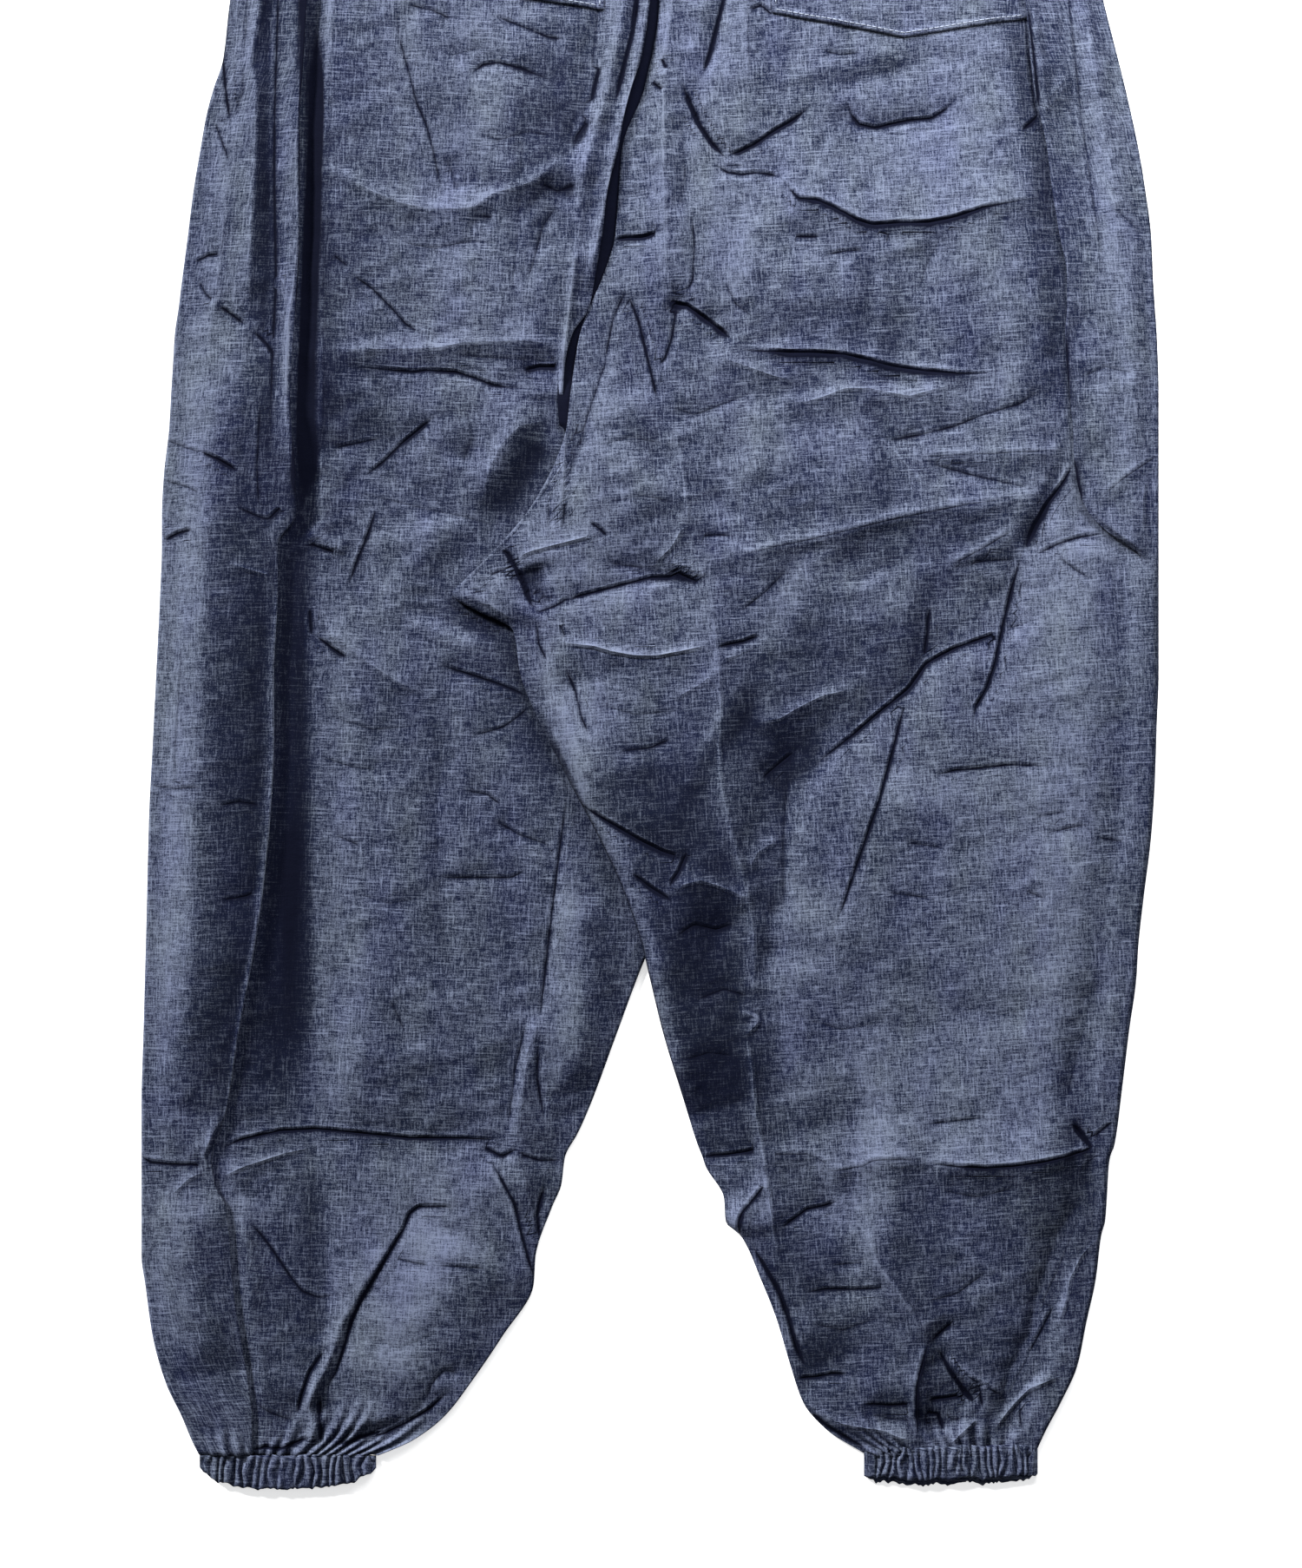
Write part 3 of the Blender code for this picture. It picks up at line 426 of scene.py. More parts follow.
RIGHT_BACK_CREASES = (
    # The long pressed ridge down the middle of the leg.
    Crease(((24, 440), (12, 303), (7, 270), (7, 207), (8, 180), (8, 140)), 3.2, 14, 9, 0.9, -0.35),
    Crease(((16, 240), (19, 210), (16, 186)), -1.8, 6, 5, 1.6, 0.1),
    Crease(((3, 104), (8, 108), (12, 120), (14, 135), (12, 152)), -1.4, 3, 4, 0.9, 0.55),
    Crease(((13, 78), (15, 60), (18, 45), (20, 28), (21, 14)), 1.8, 9, 8, 0.9, -0.35),
    Crease((
        (30, -2), (33, -20), (35, -40), (37, -60), (38, -80), (37, -100), (38, -120), (42, -140), (47, -160),
        (52, -180), (56, -200), (56, -230), (58, -248),
    ), 3.6, 18, 10, 0.9, -0.35),
    Crease((
        (51, -255), (55, -275), (57, -300), (61, -320), (63, -337), (66, -360), (70, -386),
    ), 2.8, 12, 8, 0.9, -0.45),
    Crease(((48, -243), (57, -247), (58, -250), (51, -257)), 1.6, 2, 3, 0.9, -0.5),
    Crease(((67, -180), (64, -204), (60, -232)), -1.5, 8, 5, 1.6),
    Crease(((75, -108), (72, -150), (72, -196)), -2.6, 6, 18, 1.3, 0.1),
    # Beside the centre seam.
    Crease(((47, 440), (40, 303), (33, 275), (28, 260)), -3.4, 6, 5, 1.2, 0.75),
    Crease(((58, 440), (53, 303), (53, 275), (54, 258)), 1.8, 6, 4, 1.0, 0.25),
    Crease(((53, 296), (60, 299), (67, 293)), -1.2, 3, 3, 1.0, 0.6),
    Crease(((6, 271), (9, 264)), -1.4, 2, 2, 1.0, 0.8),
    Crease(((1, 258), (7, 253)), -1.4, 2, 2, 1.0, 0.7),
    Crease(((-20, 173), (-12, 174), (-4, 174), (7, 177)), -3.2, 3, 3, 1.0, 1.0),
    Crease(((-22, 112), (-28, 95), (-36, 70), (-42, 44)), -1.8, 4, 7, 1.0, 0.35),
    Crease(((-13, 146), (-20, 130), (-25, 104)), -1.4, 4, 5, 1.0, 0.35),
    Crease(((-13, 146), (-6, 128), (0, 103), (5, 82)), -1.8, 3, 5, 0.9, 0.6),
    Crease(((-46, 78), (-46, 60), (-47, 40), (-48, 12)), 1.6, 2, 3, 0.9, -0.6),
    Crease(((-42, 78), (-43, 56), (-46, 30), (-47, 14)), -1.6, 3, 2, 0.9, 0.6),
    Crease(((-54, 44), (-55, 14)), -0.5, 2, 2, 1.0, 0.35),
    Crease(((22, 190), (24, 170), (23, 150), (18, 142)), -1.0, 3, 3, 1.0, 0.4),
    # The upper panel, below the pocket.
    Crease(((17, 258), (22, 245), (27, 234), (33, 225), (43, 215)), -3.2, 6, 6, 0.9, 1.0),
    Crease(((41, 219), (48, 220), (58, 225), (68, 232), (77, 237), (87, 245)), -2.6, 4, 9, 0.9, 0.95),
    Crease((
        (105, 250), (109, 240), (113, 235), (122, 233), (130, 235), (140, 237), (152, 238), (160, 243),
        (167, 251),
    ), -2.8, 5, 11, 1.0, 0.7),
    Crease(((94, 274), (103, 272), (114, 273)), -1.3, 4, 5, 1.0, 0.4),
    Crease(((34, 214), (42, 209), (50, 208), (57, 209), (65, 208), (71, 206)), -2.0, 4, 7, 0.9, 0.6),
    Crease((
        (69, 208), (75, 200), (80, 194), (90, 193), (97, 190), (105, 186), (112, 182), (120, 180), (135, 181),
        (150, 181), (165, 184), (180, 189), (195, 192), (216, 196),
    ), 3.8, 16, 9, 0.8, 1.25),
    Crease(((77, 174), (92, 174)), -1.2, 4, 5, 1.0, 0.5),
    Crease(((93, 164), (105, 166), (116, 167)), -1.3, 4, 6, 1.0, 0.45),
    Crease(((130, 178), (127, 170)), -0.8, 3, 3, 1.0, 0.3),
    Crease(((158, 176), (150, 160), (144, 142)), -1.2, 6, 6, 1.4, 0.15),
    Crease(((40, 150), (46, 138), (56, 130)), -1.0, 5, 5, 1.2, 0.25),
    Crease(((60, 146), (90, 140), (120, 144)), 0.9, 7, 8, 1.3),
    Crease(((8, 140), (14, 138), (20, 137), (30, 130), (38, 124), (46, 117)), -3.2, 5, 8, 0.9, 1.0),
    Crease((
        (46, 113), (60, 112), (75, 111), (90, 111), (105, 110), (118, 107), (130, 104), (150, 101),
        (166, 100), (190, 101),
    ), 3.8, 14, 9, 0.8, 1.25),
    Crease(((36, 110), (55, 103), (66, 99), (78, 96)), 2.0, 5, 5, 0.9, -0.35),
    Crease((
        (68, 84), (85, 85), (95, 88), (105, 92), (118, 92), (128, 90), (140, 88), (155, 92), (172, 96),
    ), 2.8, 5, 9, 0.9, -0.4),
    Crease((
        (108, 66), (130, 64), (150, 68), (165, 72), (180, 78), (200, 84), (213, 93),
    ), -1.8, 7, 6, 1.0, 0.35),
    Crease(((119, 71), (132, 58), (142, 46), (151, 37)), 1.2, 4, 4, 1.0, -0.3),
    Crease(((12, 82), (24, 78), (40, 84), (56, 90)), -1.2, 5, 6, 1.1, 0.25),
    Crease(((203, 294), (205, 270), (208, 245), (211, 234)), -1.6, 3, 4, 1.0, 0.3),
    Crease(((200, 231), (206, 236), (210, 240)), -1.4, 2, 3, 1.0, 0.7),
    # The facets at the thigh.
    Crease(((142, 55), (165, 56), (190, 57), (229, 59)), 2.8, 12, 15, 0.8, 0.25),
    Crease(((146, 53), (175, 45), (210, 37)), -2.2, 14, 6, 0.9, 0.3),
    Crease((
        (28, 0), (55, 3), (70, 7), (90, 11), (110, 16), (130, 21), (150, 25), (170, 29), (190, 32), (211, 37),
    ), 4.4, 18, 15, 0.8, 0.3),
    Crease(((27, 12), (36, 13), (46, 12)), -1.4, 5, 5, 1.2, 0.4),
    Crease(((48, -29), (62, -18), (74, -6)), -1.2, 5, 6, 1.0, 0.3),
    Crease(((160, -5), (180, 6), (197, 16)), 2.2, 6, 9, 0.8, 0.35),
    Crease(((160, -5), (180, -1), (201, 0)), -1.4, 6, 5, 0.9, 0.3),
    Crease(((229, 52), (224, 42), (215, 30), (208, 18), (202, 4)), -3.6, 5, 5, 1.6, 1.0),
    Crease((
        (202, 8), (196, -15), (191, -35), (187, -55), (182, -70), (176, -80), (174, -90),
    ), -1.8, 4, 6, 0.9, 0.85),
    Crease(((151, -26), (150, -40), (148, -57)), -1.0, 3, 4, 0.9, 0.55),
    Crease((
        (211, -32), (195, -37), (182, -42), (165, -48), (150, -56), (140, -70), (125, -82), (110, -95),
        (98, -104), (88, -112),
    ), -4.2, 6, 26, 0.9, 0.9),
    Crease((
        (141, -66), (136, -85), (131, -105), (124, -130), (117, -150), (110, -170), (105, -185), (99, -200),
    ), -1.8, 5, 8, 0.9, 0.8),
    Crease(((206, 1), (220, 8), (232, 12), (247, 14)), -1.2, 3, 4, 1.0, 0.55),
    Crease(((221, 1), (230, -6), (240, -12)), -0.8, 3, 3, 1.0, 0.35),
    # The flap.
    Crease(((-45, 74), (-57, 40), (-73, 17), (-88, 2), (-106, -18)), 0.5, 2, 2, 1.0, -0.8),
    Crease((
        (-53, -44), (-40, -46), (-30, -47), (-20, -50), (-8, -52), (4, -52), (20, -49), (37, -45),
    ), 2.2, 4, 7, 0.9, -1.0),
    Crease(((34, -48), (50, -45), (60, -41)), -1.8, 4, 5, 0.9, 0.8),
    Crease(((34, -58), (48, -50), (62, -43)), 1.1, 4, 4, 1.0, -0.3),
    Crease((
        (-48, -24), (-38, -20), (-30, -18), (-15, -14), (0, -10), (12, -10), (28, -13),
    ), -2.8, 6, 6, 0.9, 0.7),
    Crease(((-24, -2), (-8, -4), (8, -8)), -1.6, 6, 5, 1.2, 0.2),
    Crease(((9, -1), (20, -5), (29, -10)), 2.4, 4, 3, 0.9, -0.6),
    Crease(((10, -5), (20, -10), (27, -13)), -1.6, 2, 3, 0.9, 0.9),
    Crease(((18, 18), (12, 7), (3, -2)), 2.0, 3, 4, 0.9, -0.45),
    Crease(((-74, 0), (-65, 4), (-50, 8), (-38, 11), (-28, 14)), 1.4, 4, 5, 0.9, -0.6),
    Crease(((-33, 20), (-27, 16), (-23, 12)), -1.2, 3, 3, 0.9, 0.7),
    Crease(((-84, 8), (-77, 3), (-73, -4), (-69, -12), (-66, -20), (-62, -29)), -2.6, 4, 5, 0.9, 1.0),
    Crease(((-66, -3), (-60, -16), (-54, -26)), -3.0, 8, 6, 1.8, 0.15),
    Crease(((-63, -30), (-50, -25), (-44, -21)), -1.6, 4, 4, 0.9, 0.6),
    Crease(((-61, -34), (-60, -46), (-55, -56)), -1.0, 3, 3, 1.0, 0.5),
    Crease(((-49, -34), (-45, -44)), -0.9, 3, 3, 1.0, 0.45),
    Crease(((-46, -58), (-40, -72), (-37, -85), (-32, -97)), -1.6, 4, 5, 1.0, 0.5),
    Crease(((-57, -56), (-52, -74), (-40, -100), (-26, -126)), 1.2, 4, 4, 1.0, -0.1),
    Crease(((-105, -20), (-94, -20), (-84, -26), (-74, -33)), 2.0, 3, 4, 0.9, -0.2),
    Crease(((-96, -18), (-88, -17)), -0.8, 2, 2, 1.0, 0.5),
    Crease(((-88, -9), (-76, -5)), -1.0, 3, 3, 1.0, 0.5),
    Crease(((-30, 60), (-10, 66), (8, 62)), -1.2, 6, 7, 1.2, 0.15),
    Crease(((-24, 30), (-4, 34), (14, 30)), -1.1, 6, 6, 1.2, 0.15),
    Crease(((-18, -104), (0, -102), (12, -97)), -1.6, 5, 6, 1.1, 0.35),
    Crease(((12, -76), (28, -67), (38, -58)), 1.6, 5, 6, 0.9, -0.25),
    Crease(((-30, -78), (-8, -84), (16, -82)), -1.2, 6, 7, 1.1, 0.2),
    Crease(((56, -88), (70, -86), (80, -80), (92, -74), (112, -69)), 2.6, 5, 12, 0.9, -0.35),
    Crease(((60, -119), (68, -112), (78, -104)), -1.4, 4, 5, 1.0, 0.45),
    Crease(((70, -151), (58, -158), (53, -168)), 1.4, 4, 4, 1.0, -0.3),
    # The inner leg above the knee.
    Crease(((-39, -131), (-24, -141), (-5, -152), (7, -158), (17, -161)), -2.8, 5, 7, 0.9, 0.9),
    Crease(((20, -158), (16, -168), (10, -177)), -1.8, 3, 4, 0.9, 0.8),
    Crease(((10, -178), (19, -175), (27, -173), (37, -176), (49, -181), (55, -188)), 2.8, 6, 8, 0.9, -0.4),
    Crease(((-10, -169), (0, -177), (13, -185)), -1.6, 4, 4, 0.9, 0.8),
    Crease(((14, -203), (24, -197), (36, -200), (46, -196)), -1.2, 4, 5, 1.0, 0.35),
    Crease(((24, -238), (40, -232), (54, -236)), -1.0, 5, 5, 1.1, 0.25),
    Crease(((18, -270), (32, -266), (46, -268)), -0.9, 5, 6, 1.2, 0.15),
    # The outer leg above the knee.
    Crease(((152, -117), (165, -114), (178, -113), (194, -111), (222, -112)), -1.6, 5, 6, 1.0, 0.5),
    Crease(((138, -153), (160, -156)), -1.0, 5, 5, 1.1, 0.25),
    Crease(((206, -140), (226, -136)), -0.9, 4, 5, 1.1, 0.25),
    Crease(((213, -148), (237, -143)), -1.1, 4, 5, 1.0, 0.35),
    Crease(((128, -180), (152, -183)), -1.0, 4, 5, 1.1, 0.25),
    Crease(((203, -179), (214, -184)), -0.9, 3, 4, 1.0, 0.35),
    Crease(((240, -150), (258, -153)), -0.9, 4, 4, 1.0, 0.25),
    Crease(((148, -305), (165, -303), (182, -301)), -1.1, 4, 6, 1.0, 0.35),
    Crease(((160, -240), (190, -246), (214, -240)), -0.9, 7, 8, 1.3, 0.1),
    Crease(((84, -248), (104, -254), (126, -250)), -0.9, 6, 7, 1.2, 0.15),
    Crease(((168, -56), (196, -66), (226, -60)), 0.9, 7, 8, 1.2),
    Crease(((240, -230), (232, -262), (224, -296)), -1.8, 8, 8, 1.6, 0.1),
    # The knee.
    Crease(((27, -323), (40, -322), (52, -320), (59, -318)), -2.0, 7, 5, 0.9, 0.7),
    Crease(((60, -321), (85, -321), (98, -327)), 1.8, 8, 6, 0.9, 0.25),
    Crease((
        (90, -331), (105, -329), (115, -327), (120, -324), (135, -323), (152, -325),
    ), 3.6, 18, 14, 0.8, 0.35),
    Crease((
        (146, -325), (165, -327), (180, -328), (195, -327), (210, -325), (225, -322), (236, -319),
        (249, -312),
    ), 4.4, 20, 12, 0.8, 1.0),
    Crease(((227, -304), (234, -312), (240, -320)), -1.8, 3, 3, 0.9, 0.9),
    Crease(((236, -318), (242, -310), (251, -303)), -1.6, 3, 4, 0.9, 0.6),
    Crease(((231, -329), (236, -322), (243, -319)), 1.4, 3, 3, 0.9, -0.4),
    # Below the knee.
    Crease(((69, -362), (78, -356), (85, -351), (95, -349), (102, -346)), -2.6, 16, 7, 0.9, 0.6),
    Crease(((64, -334), (57, -344), (50, -352), (48, -358), (49, -366)), 2.8, 6, 5, 0.8, 1.0),
    Crease(((44, -364), (54, -380), (62, -396), (68, -410), (72, -430)), 1.8, 3, 4, 0.9, -0.5),
    Crease(((53, -366), (62, -382), (70, -396), (75, -410), (79, -425), (85, -439)), -2.6, 4, 5, 1.0, 0.85),
    Crease(((78, -443), (90, -442), (98, -440), (108, -440)), -1.6, 3, 5, 0.9, 0.65),
    Crease(((82, -396), (95, -394), (110, -394), (122, -393), (129, -391)), -1.6, 5, 6, 1.0, 0.5),
    Crease(((98, -381), (117, -379)), -1.0, 4, 5, 1.0, 0.3),
    Crease(((86, -412), (104, -416), (126, -408)), -1.0, 5, 6, 1.1, 0.2),
    Crease((
        (116, -356), (119, -368), (122, -378), (126, -385), (133, -394), (140, -405), (145, -415),
        (150, -424),
    ), 3.8, 18, 9, 0.8, -0.45),
    Crease(((150, -421), (147, -433), (144, -445), (144, -460), (145, -477)), 2.2, 4, 6, 0.9, 0.7),
    Crease(((151, -422), (158, -416), (164, -411)), -1.2, 3, 4, 1.0, 0.5),
    Crease(((150, -400), (166, -396), (182, -384)), -1.2, 6, 6, 1.1, 0.25),
    Crease(((155, -425), (162, -438), (169, -448), (177, -458)), -2.4, 4, 4, 0.9, 0.9),
    Crease(((158, -430), (168, -439), (180, -446), (194, -454)), 2.2, 4, 5, 0.9, 0.35),
    Crease(((177, -443), (180, -459)), -1.2, 2, 3, 1.0, 0.5),
    Crease(((244, -364), (233, -376), (227, -388), (224, -402), (220, -416)), 1.8, 4, 5, 0.9, -0.35),
    Crease((
        (236, -346), (228, -365), (220, -385), (213, -400), (210, -420), (204, -432), (197, -445),
        (192, -458), (187, -472),
    ), -3.8, 9, 9, 1.6, 0.15),
    Crease(((219, -402), (212, -416), (204, -431)), -1.2, 3, 3, 1.0, 0.5),
    Crease((
        (185, -472), (192, -462), (198, -455), (205, -448), (214, -444), (228, -439),
    ), 2.6, 5, 5, 0.9, -0.45),
    Crease(((201, -472), (200, -461), (206, -451)), -1.0, 3, 3, 1.0, 0.4),
    Crease((
        (80, -450), (90, -461), (100, -466), (112, -468), (125, -470), (135, -474), (146, -477),
    ), 2.6, 5, 5, 0.9, -0.55),
    Crease(((84, -458), (95, -468), (108, -476), (119, -481)), -1.8, 3, 4, 0.9, 0.8),
    Crease(((114, -456), (130, -457), (142, -456)), -1.6, 4, 5, 1.0, 0.6),
    Crease(((149, -454), (160, -453), (172, -451)), -1.6, 4, 5, 0.9, 0.8),
    Crease(((147, -460), (156, -462), (159, -472)), -1.4, 3, 4, 1.0, 0.6),
    Crease(((162, -478), (170, -470), (178, -463)), 2.4, 4, 4, 0.9, -0.5),
    Crease(((116, -463), (150, -466), (188, -463)), -2.2, 7, 8, 1.6, 0.25),
    Crease(((156, -340), (176, -344), (200, -338)), -1.1, 7, 7, 1.2, 0.2),
    Crease(((160, -368), (176, -380), (186, -400)), 1.1, 7, 7, 1.2),
)

# Broad forms that a back panel and the front panel's strip beside it share.
LEFT_LEG_SWELLS = (
    Crease((
        (-226, 130), (-234, 60), (-240, -20), (-242, -120), (-246, -220), (-250, -300),
    ), 7.0, 34, 30, 1.7),
    Crease(((-250, -340), (-246, -390), (-238, -440)), 3.0, 20, 26, 1.8),
)

RIGHT_LEG_SWELLS = (
    Crease(((224, 20), (228, -60), (230, -150), (222, -240), (212, -306)), 2.6, 40, 40, 1.6),
    Crease(((110, -326), (150, -328), (200, -328), (236, -322)), 4.4, 40, 60, 1.3),
)

LEFT_BACK_SWELLS = (
    Crease((
        (-168, 440), (-172, 303), (-175, 258), (-177, 212), (-178, 153), (-178, 100), (-178, 62),
    ), 4.8, 60, 4, 1.1),
    Crease(((-126, 440), (-128, 340), (-124, 280), (-116, 236)), 2.0, 20, 22, 1.6),
    Crease(((-70, 300), (-76, 240), (-84, 200)), 2.0, 24, 26, 2.0),
    Crease(((-185, 10), (-185, -60), (-184, -140), (-182, -220), (-180, -300)), -4.2, 12, 20, 1.5),
    Crease(((-160, -20), (-156, -120), (-152, -220), (-150, -296)), 2.4, 60, 20, 1.6),
    Crease(((-100, -365), (-110, -390), (-126, -420), (-138, -455)), 3.6, 30, 26, 1.6),
    Crease(((-226, -345), (-222, -400), (-212, -470)), 2.4, 26, 5, 1.6),
    Crease(((-40, -180), (-36, -230), (-40, -290)), 2.6, 16, 16, 1.6),
)

RIGHT_BACK_SWELLS = (
    Crease(((-50, -70), (-30, -140), (-6, -205), (8, -250), (20, -300)), 8.5, 44, 8, 1.3),
    Crease(((40, -345), (60, -392), (84, -440)), 3.6, 34, 6, 1.3),
    Crease(((176, 440), (184, 303), (200, 223), (208, 150), (212, 80)), 3.4, 13, 50, 1.5),
    Crease(((100, 330), (110, 290), (118, 260)), 2.4, 34, 30, 2.0),
    Crease(((40, 160), (80, 150), (120, 150)), 2.2, 30, 34, 1.8),
    Crease(((120, 100), (160, 96), (200, 104)), -2.2, 50, 12, 1.5),
    Crease(((40, 50), (90, 46), (130, 50)), 2.4, 30, 30, 1.8),
    Crease(((70, -16), (110, -34), (150, -40)), 2.4, 30, 26, 1.8),
    Crease(((40, -84), (70, -100), (100, -110)), -3.4, 22, 30, 1.4),
    Crease(((126, -110), (112, -170), (100, -220)), 3.2, 40, 24, 1.5),
    Crease(((80, -210), (84, -260), (92, -306)), 2.4, 40, 16, 1.6),
    Crease(((110, -340), (128, -380), (142, -424), (146, -460)), 2.4, 24, 26, 1.5),
    Crease(((-20, 90), (-10, 50), (0, 20)), 2.0, 24, 24, 1.8),
)

# Rows of the same kind, whose height is painted light and shade: above 0 the cloth is painted paler, below 0
# painted darker, and below -1 it is painted as the black shadow of a gap.
CENTRE_GAP_SHADOW = Crease(
    ((0, 360), (-8, 250), (-20, 195), (-28, 160), (-34, 130), (-46, 90), (-48, 50)), -2.2, 14, 14, 4.0
)

LEFT_STRIP_PAINTED_SHADING = (
    Crease(((-227, 340), (-227, 230), (-230, 110)), 0.3, 9, 9, 2.0),
    Crease(((-207, 360), (-208, 250), (-208, 180), (-210, 90)), -0.6, 5, 5, 1.6),
    Crease(((-205, 230), (-204, 160), (-206, 90), (-207, 50)), -0.6, 3, 5, 1.6),
    Crease(((-198, 360), (-199, 200), (-201, 90), (-200, 20)), -0.25, 4, 5, 2.0),
    Crease(((-226, 330), (-238, 150), (-242, 60)), -0.15, 12, 14, 2.0),
    Crease((
        (-207, 20), (-210, -60), (-212, -140), (-216, -200), (-224, -256), (-233, -310),
    ), -0.8, 4, 12, 1.4),
    CENTRE_GAP_SHADOW,
    Crease(((-182, 400), (-184, 255), (-184, 180), (-186, 60), (-190, 20)), -1.8, 8, 8, 4.0),
)

RIGHT_STRIP_PAINTED_SHADING = (
    CENTRE_GAP_SHADOW,
    Crease(((246, 380), (254, 200), (260, 100), (258, 0)), 0.5, 16, 20, 2.0),
)

LEFT_BACK_PAINTED_SHADING = (
    Crease((
        (-182, 400), (-182, 262), (-181, 225), (-182, 180), (-183, 100), (-184, 50), (-192, 0),
    ), -1.35, 7, 9, 3.0),
    Crease(((-177, 280), (-178, 240), (-180, 205), (-183, 160), (-186, 110), (-189, 50)), -1.1, 3, 4, 2.0),
    Crease(((-177, 200), (-174, 150), (-173, 100), (-175, 60)), -0.5, 7, 6, 1.6),
    Crease(((-125, 360), (-112, 240), (-110, 120), (-112, 60)), 0.4, 45, 45, 2.0),
    Crease(((-50, 280), (-58, 220), (-60, 170)), -0.3, 20, 16, 2.0),
    Crease(((-168, 0), (-166, -140), (-164, -280)), -0.28, 26, 24, 2.0),
    Crease(((-55, 66), (-66, 44), (-84, 18)), -0.8, 10, 18, 1.6),
    Crease(((-112, -20), (-92, -34), (-77, -46), (-73, -66), (-63, -94), (-47, -124)), -0.9, 6, 8, 1.4),
    Crease(((-192, 20), (-191, -60), (-192, -140), (-194, -220), (-196, -312)), -0.95, 13, 12, 2.2),
    Crease(((-204, -130), (-207, -190), (-213, -240), (-222, -312)), -0.5, 14, 6, 1.6),
    Crease(((-183, -326), (-184, -380), (-182, -440)), -0.7, 7, 9, 2.0),
    Crease(((-136, -100), (-134, -200), (-128, -310)), 0.15, 30, 26, 2.0),
    Crease(((-112, -320), (-122, -400), (-132, -520)), 0.55, 32, 32, 2.0),
)

RIGHT_BACK_PAINTED_SHADING = (
    Crease(((150, 420), (150, 280), (145, 130)), 0.42, 70, 60, 2.0),
    Crease(((44, 400), (36, 240), (30, 140)), 0.4, 20, 26, 2.0),
    Crease(((240, 120), (238, -40), (234, -200), (228, -310)), 0.55, 30, 34, 2.0),
    Crease(((-60, 20), (-30, 6), (-16, -30)), 0.55, 30, 30, 2.0),
    Crease(((10, -90), (26, -170), (36, -250), (48, -335)), -0.9, 24, 34, 2.4),
    Crease(((48, -84), (66, -106), (86, -124)), -0.8, 18, 18, 2.0),
    Crease(((84, -90), (98, -126), (88, -180)), -0.5, 26, 24, 2.0),
    Crease(((104, -190), (100, -250), (104, -330)), 0.25, 26, 26, 2.0),
    Crease(((160, -90), (130, -190), (118, -320)), 0.3, 46, 26, 2.0),
    Crease(((86, -350), (84, -400), (104, -470)), -0.35, 40, 30, 2.0),
    Crease(((166, -330), (174, -370), (170, -410)), 0.15, 26, 30, 2.0),
)

# The few soft creases of the underside.
UNDER_CREASES = (
    Crease(((-240, 250), (-180, 236), (-120, 244), (-60, 228)), 0.8, 9, 14, 1.3),
    Crease(((-250, 90), (-190, 102), (-120, 92), (-70, 100)), 0.7, 8, 12, 1.3),
    Crease(((-262, -10), (-200, -26), (-120, -14), (-30, -40)), 0.8, 12, 9, 1.3),
    Crease(((-240, -150), (-180, -140), (-100, -160)), 0.6, 12, 14, 2),
    Crease(((-270, -322), (-190, -314), (-120, -318), (-56, -316)), 0.9, 12, 6, 1.1),
    Crease(((-200, -380), (-180, -430), (-190, -476)), 0.7, 8, 8, 1.4),
    Crease(((40, 260), (100, 238), (170, 250), (230, 236)), 0.8, 9, 14, 1.3),
    Crease(((30, 130), (110, 112), (200, 124)), 0.8, 8, 12, 1.3),
    Crease(((110, 20), (170, 34), (250, 24)), 0.7, 10, 8, 1.3),
    Crease(((130, -120), (190, -104), (250, -114)), 0.6, 12, 12, 2),
    Crease(((40, -322), (120, -326), (200, -322), (246, -318)), 0.9, 12, 6, 1.1),
    Crease(((140, -380), (160, -430), (150, -474)), 0.7, 8, 8, 1.4),
)


class Pocket(NamedTuple):
    """A patch pocket's sides at its mouth and at its bottom, and its bottom edge's corners and point."""

    mouth_left: float
    mouth_right: float
    left: float
    right: float
    left_corner: float
    point: float
    right_corner: float


POCKET_LEFT = Pocket(-88, -24, -96, -25, 307, 302, 297)
POCKET_RIGHT = Pocket(63, 188, 66, 208, 295, 281, 293)
POCKET_DEPTH = 150.0

# The stitches along a pocket's edge.
STITCH_INSET = 2.2
STITCH_LENGTH = 2.4
STITCH_RADIUS = 0.34
STITCH_TAPER = 0.7
STITCH_LIFT = 0.08


class Ring(NamedTuple):
    """A gathered elastic band, flattened: its ends, its edges along Y, and how its lower edge runs."""

    left: float
    right: float
    top: float
    bottom: float
    corner_rise: float
    lower_layer_longer: float
    gathers: int
    columns: int
    gather_height: float
    layer_gap: float


WAISTBAND = Ring(-184, 194, WAIST_TOP, WAIST_SEAM, 0, 0, 60, 900, 1.5, 2.0)
CUFF_LEFT = Ring(-243.5, -148.5, HEM_SEAM, -502.5, 11, 0, 21, 560, 2.1, 2.4)
CUFF_RIGHT = Ring(116, 209.5, HEM_SEAM + 5, -497, 1.5, 3.6, 24, 576, 1.9, 3.2)


class Wrinkles(NamedTuple):
    """A kind of small crease: how its pattern is stretched and slanted, its size and its height."""

    x_by_x: float
    x_by_y: float
    y_by_y: float
    y_by_x: float
    size: float
    height: float


ACROSS_WRINKLES = Wrinkles(0.45, 0.25, 1.0, -0.2, 26, 1.05)
SLANTING_WRINKLES = Wrinkles(0.7, -0.5, 0.8, 0.5, 20, 0.9)
FINE_WRINKLES = Wrinkles(0.6, 0.2, 1.0, -0.3, 11, 0.5)
WRINKLE_TOP = 0.4

# A crease rises to its full height between these two shares of its path, and falls alike before its end.
CREASE_BEGINS = -0.0625
CREASE_FULL = 0.1875

# The random relief repeats after this many lumps, and its middle lies at this one.
LATTICE = 96
LATTICE_MIDDLE = 40

# The creases' painted shade lines: how far to the sides one shows, and how fast it fades there and at the
# ends.
LINE_REACH = 6.0
LINE_EDGE = 2.4
LINE_TAPER = 4.5
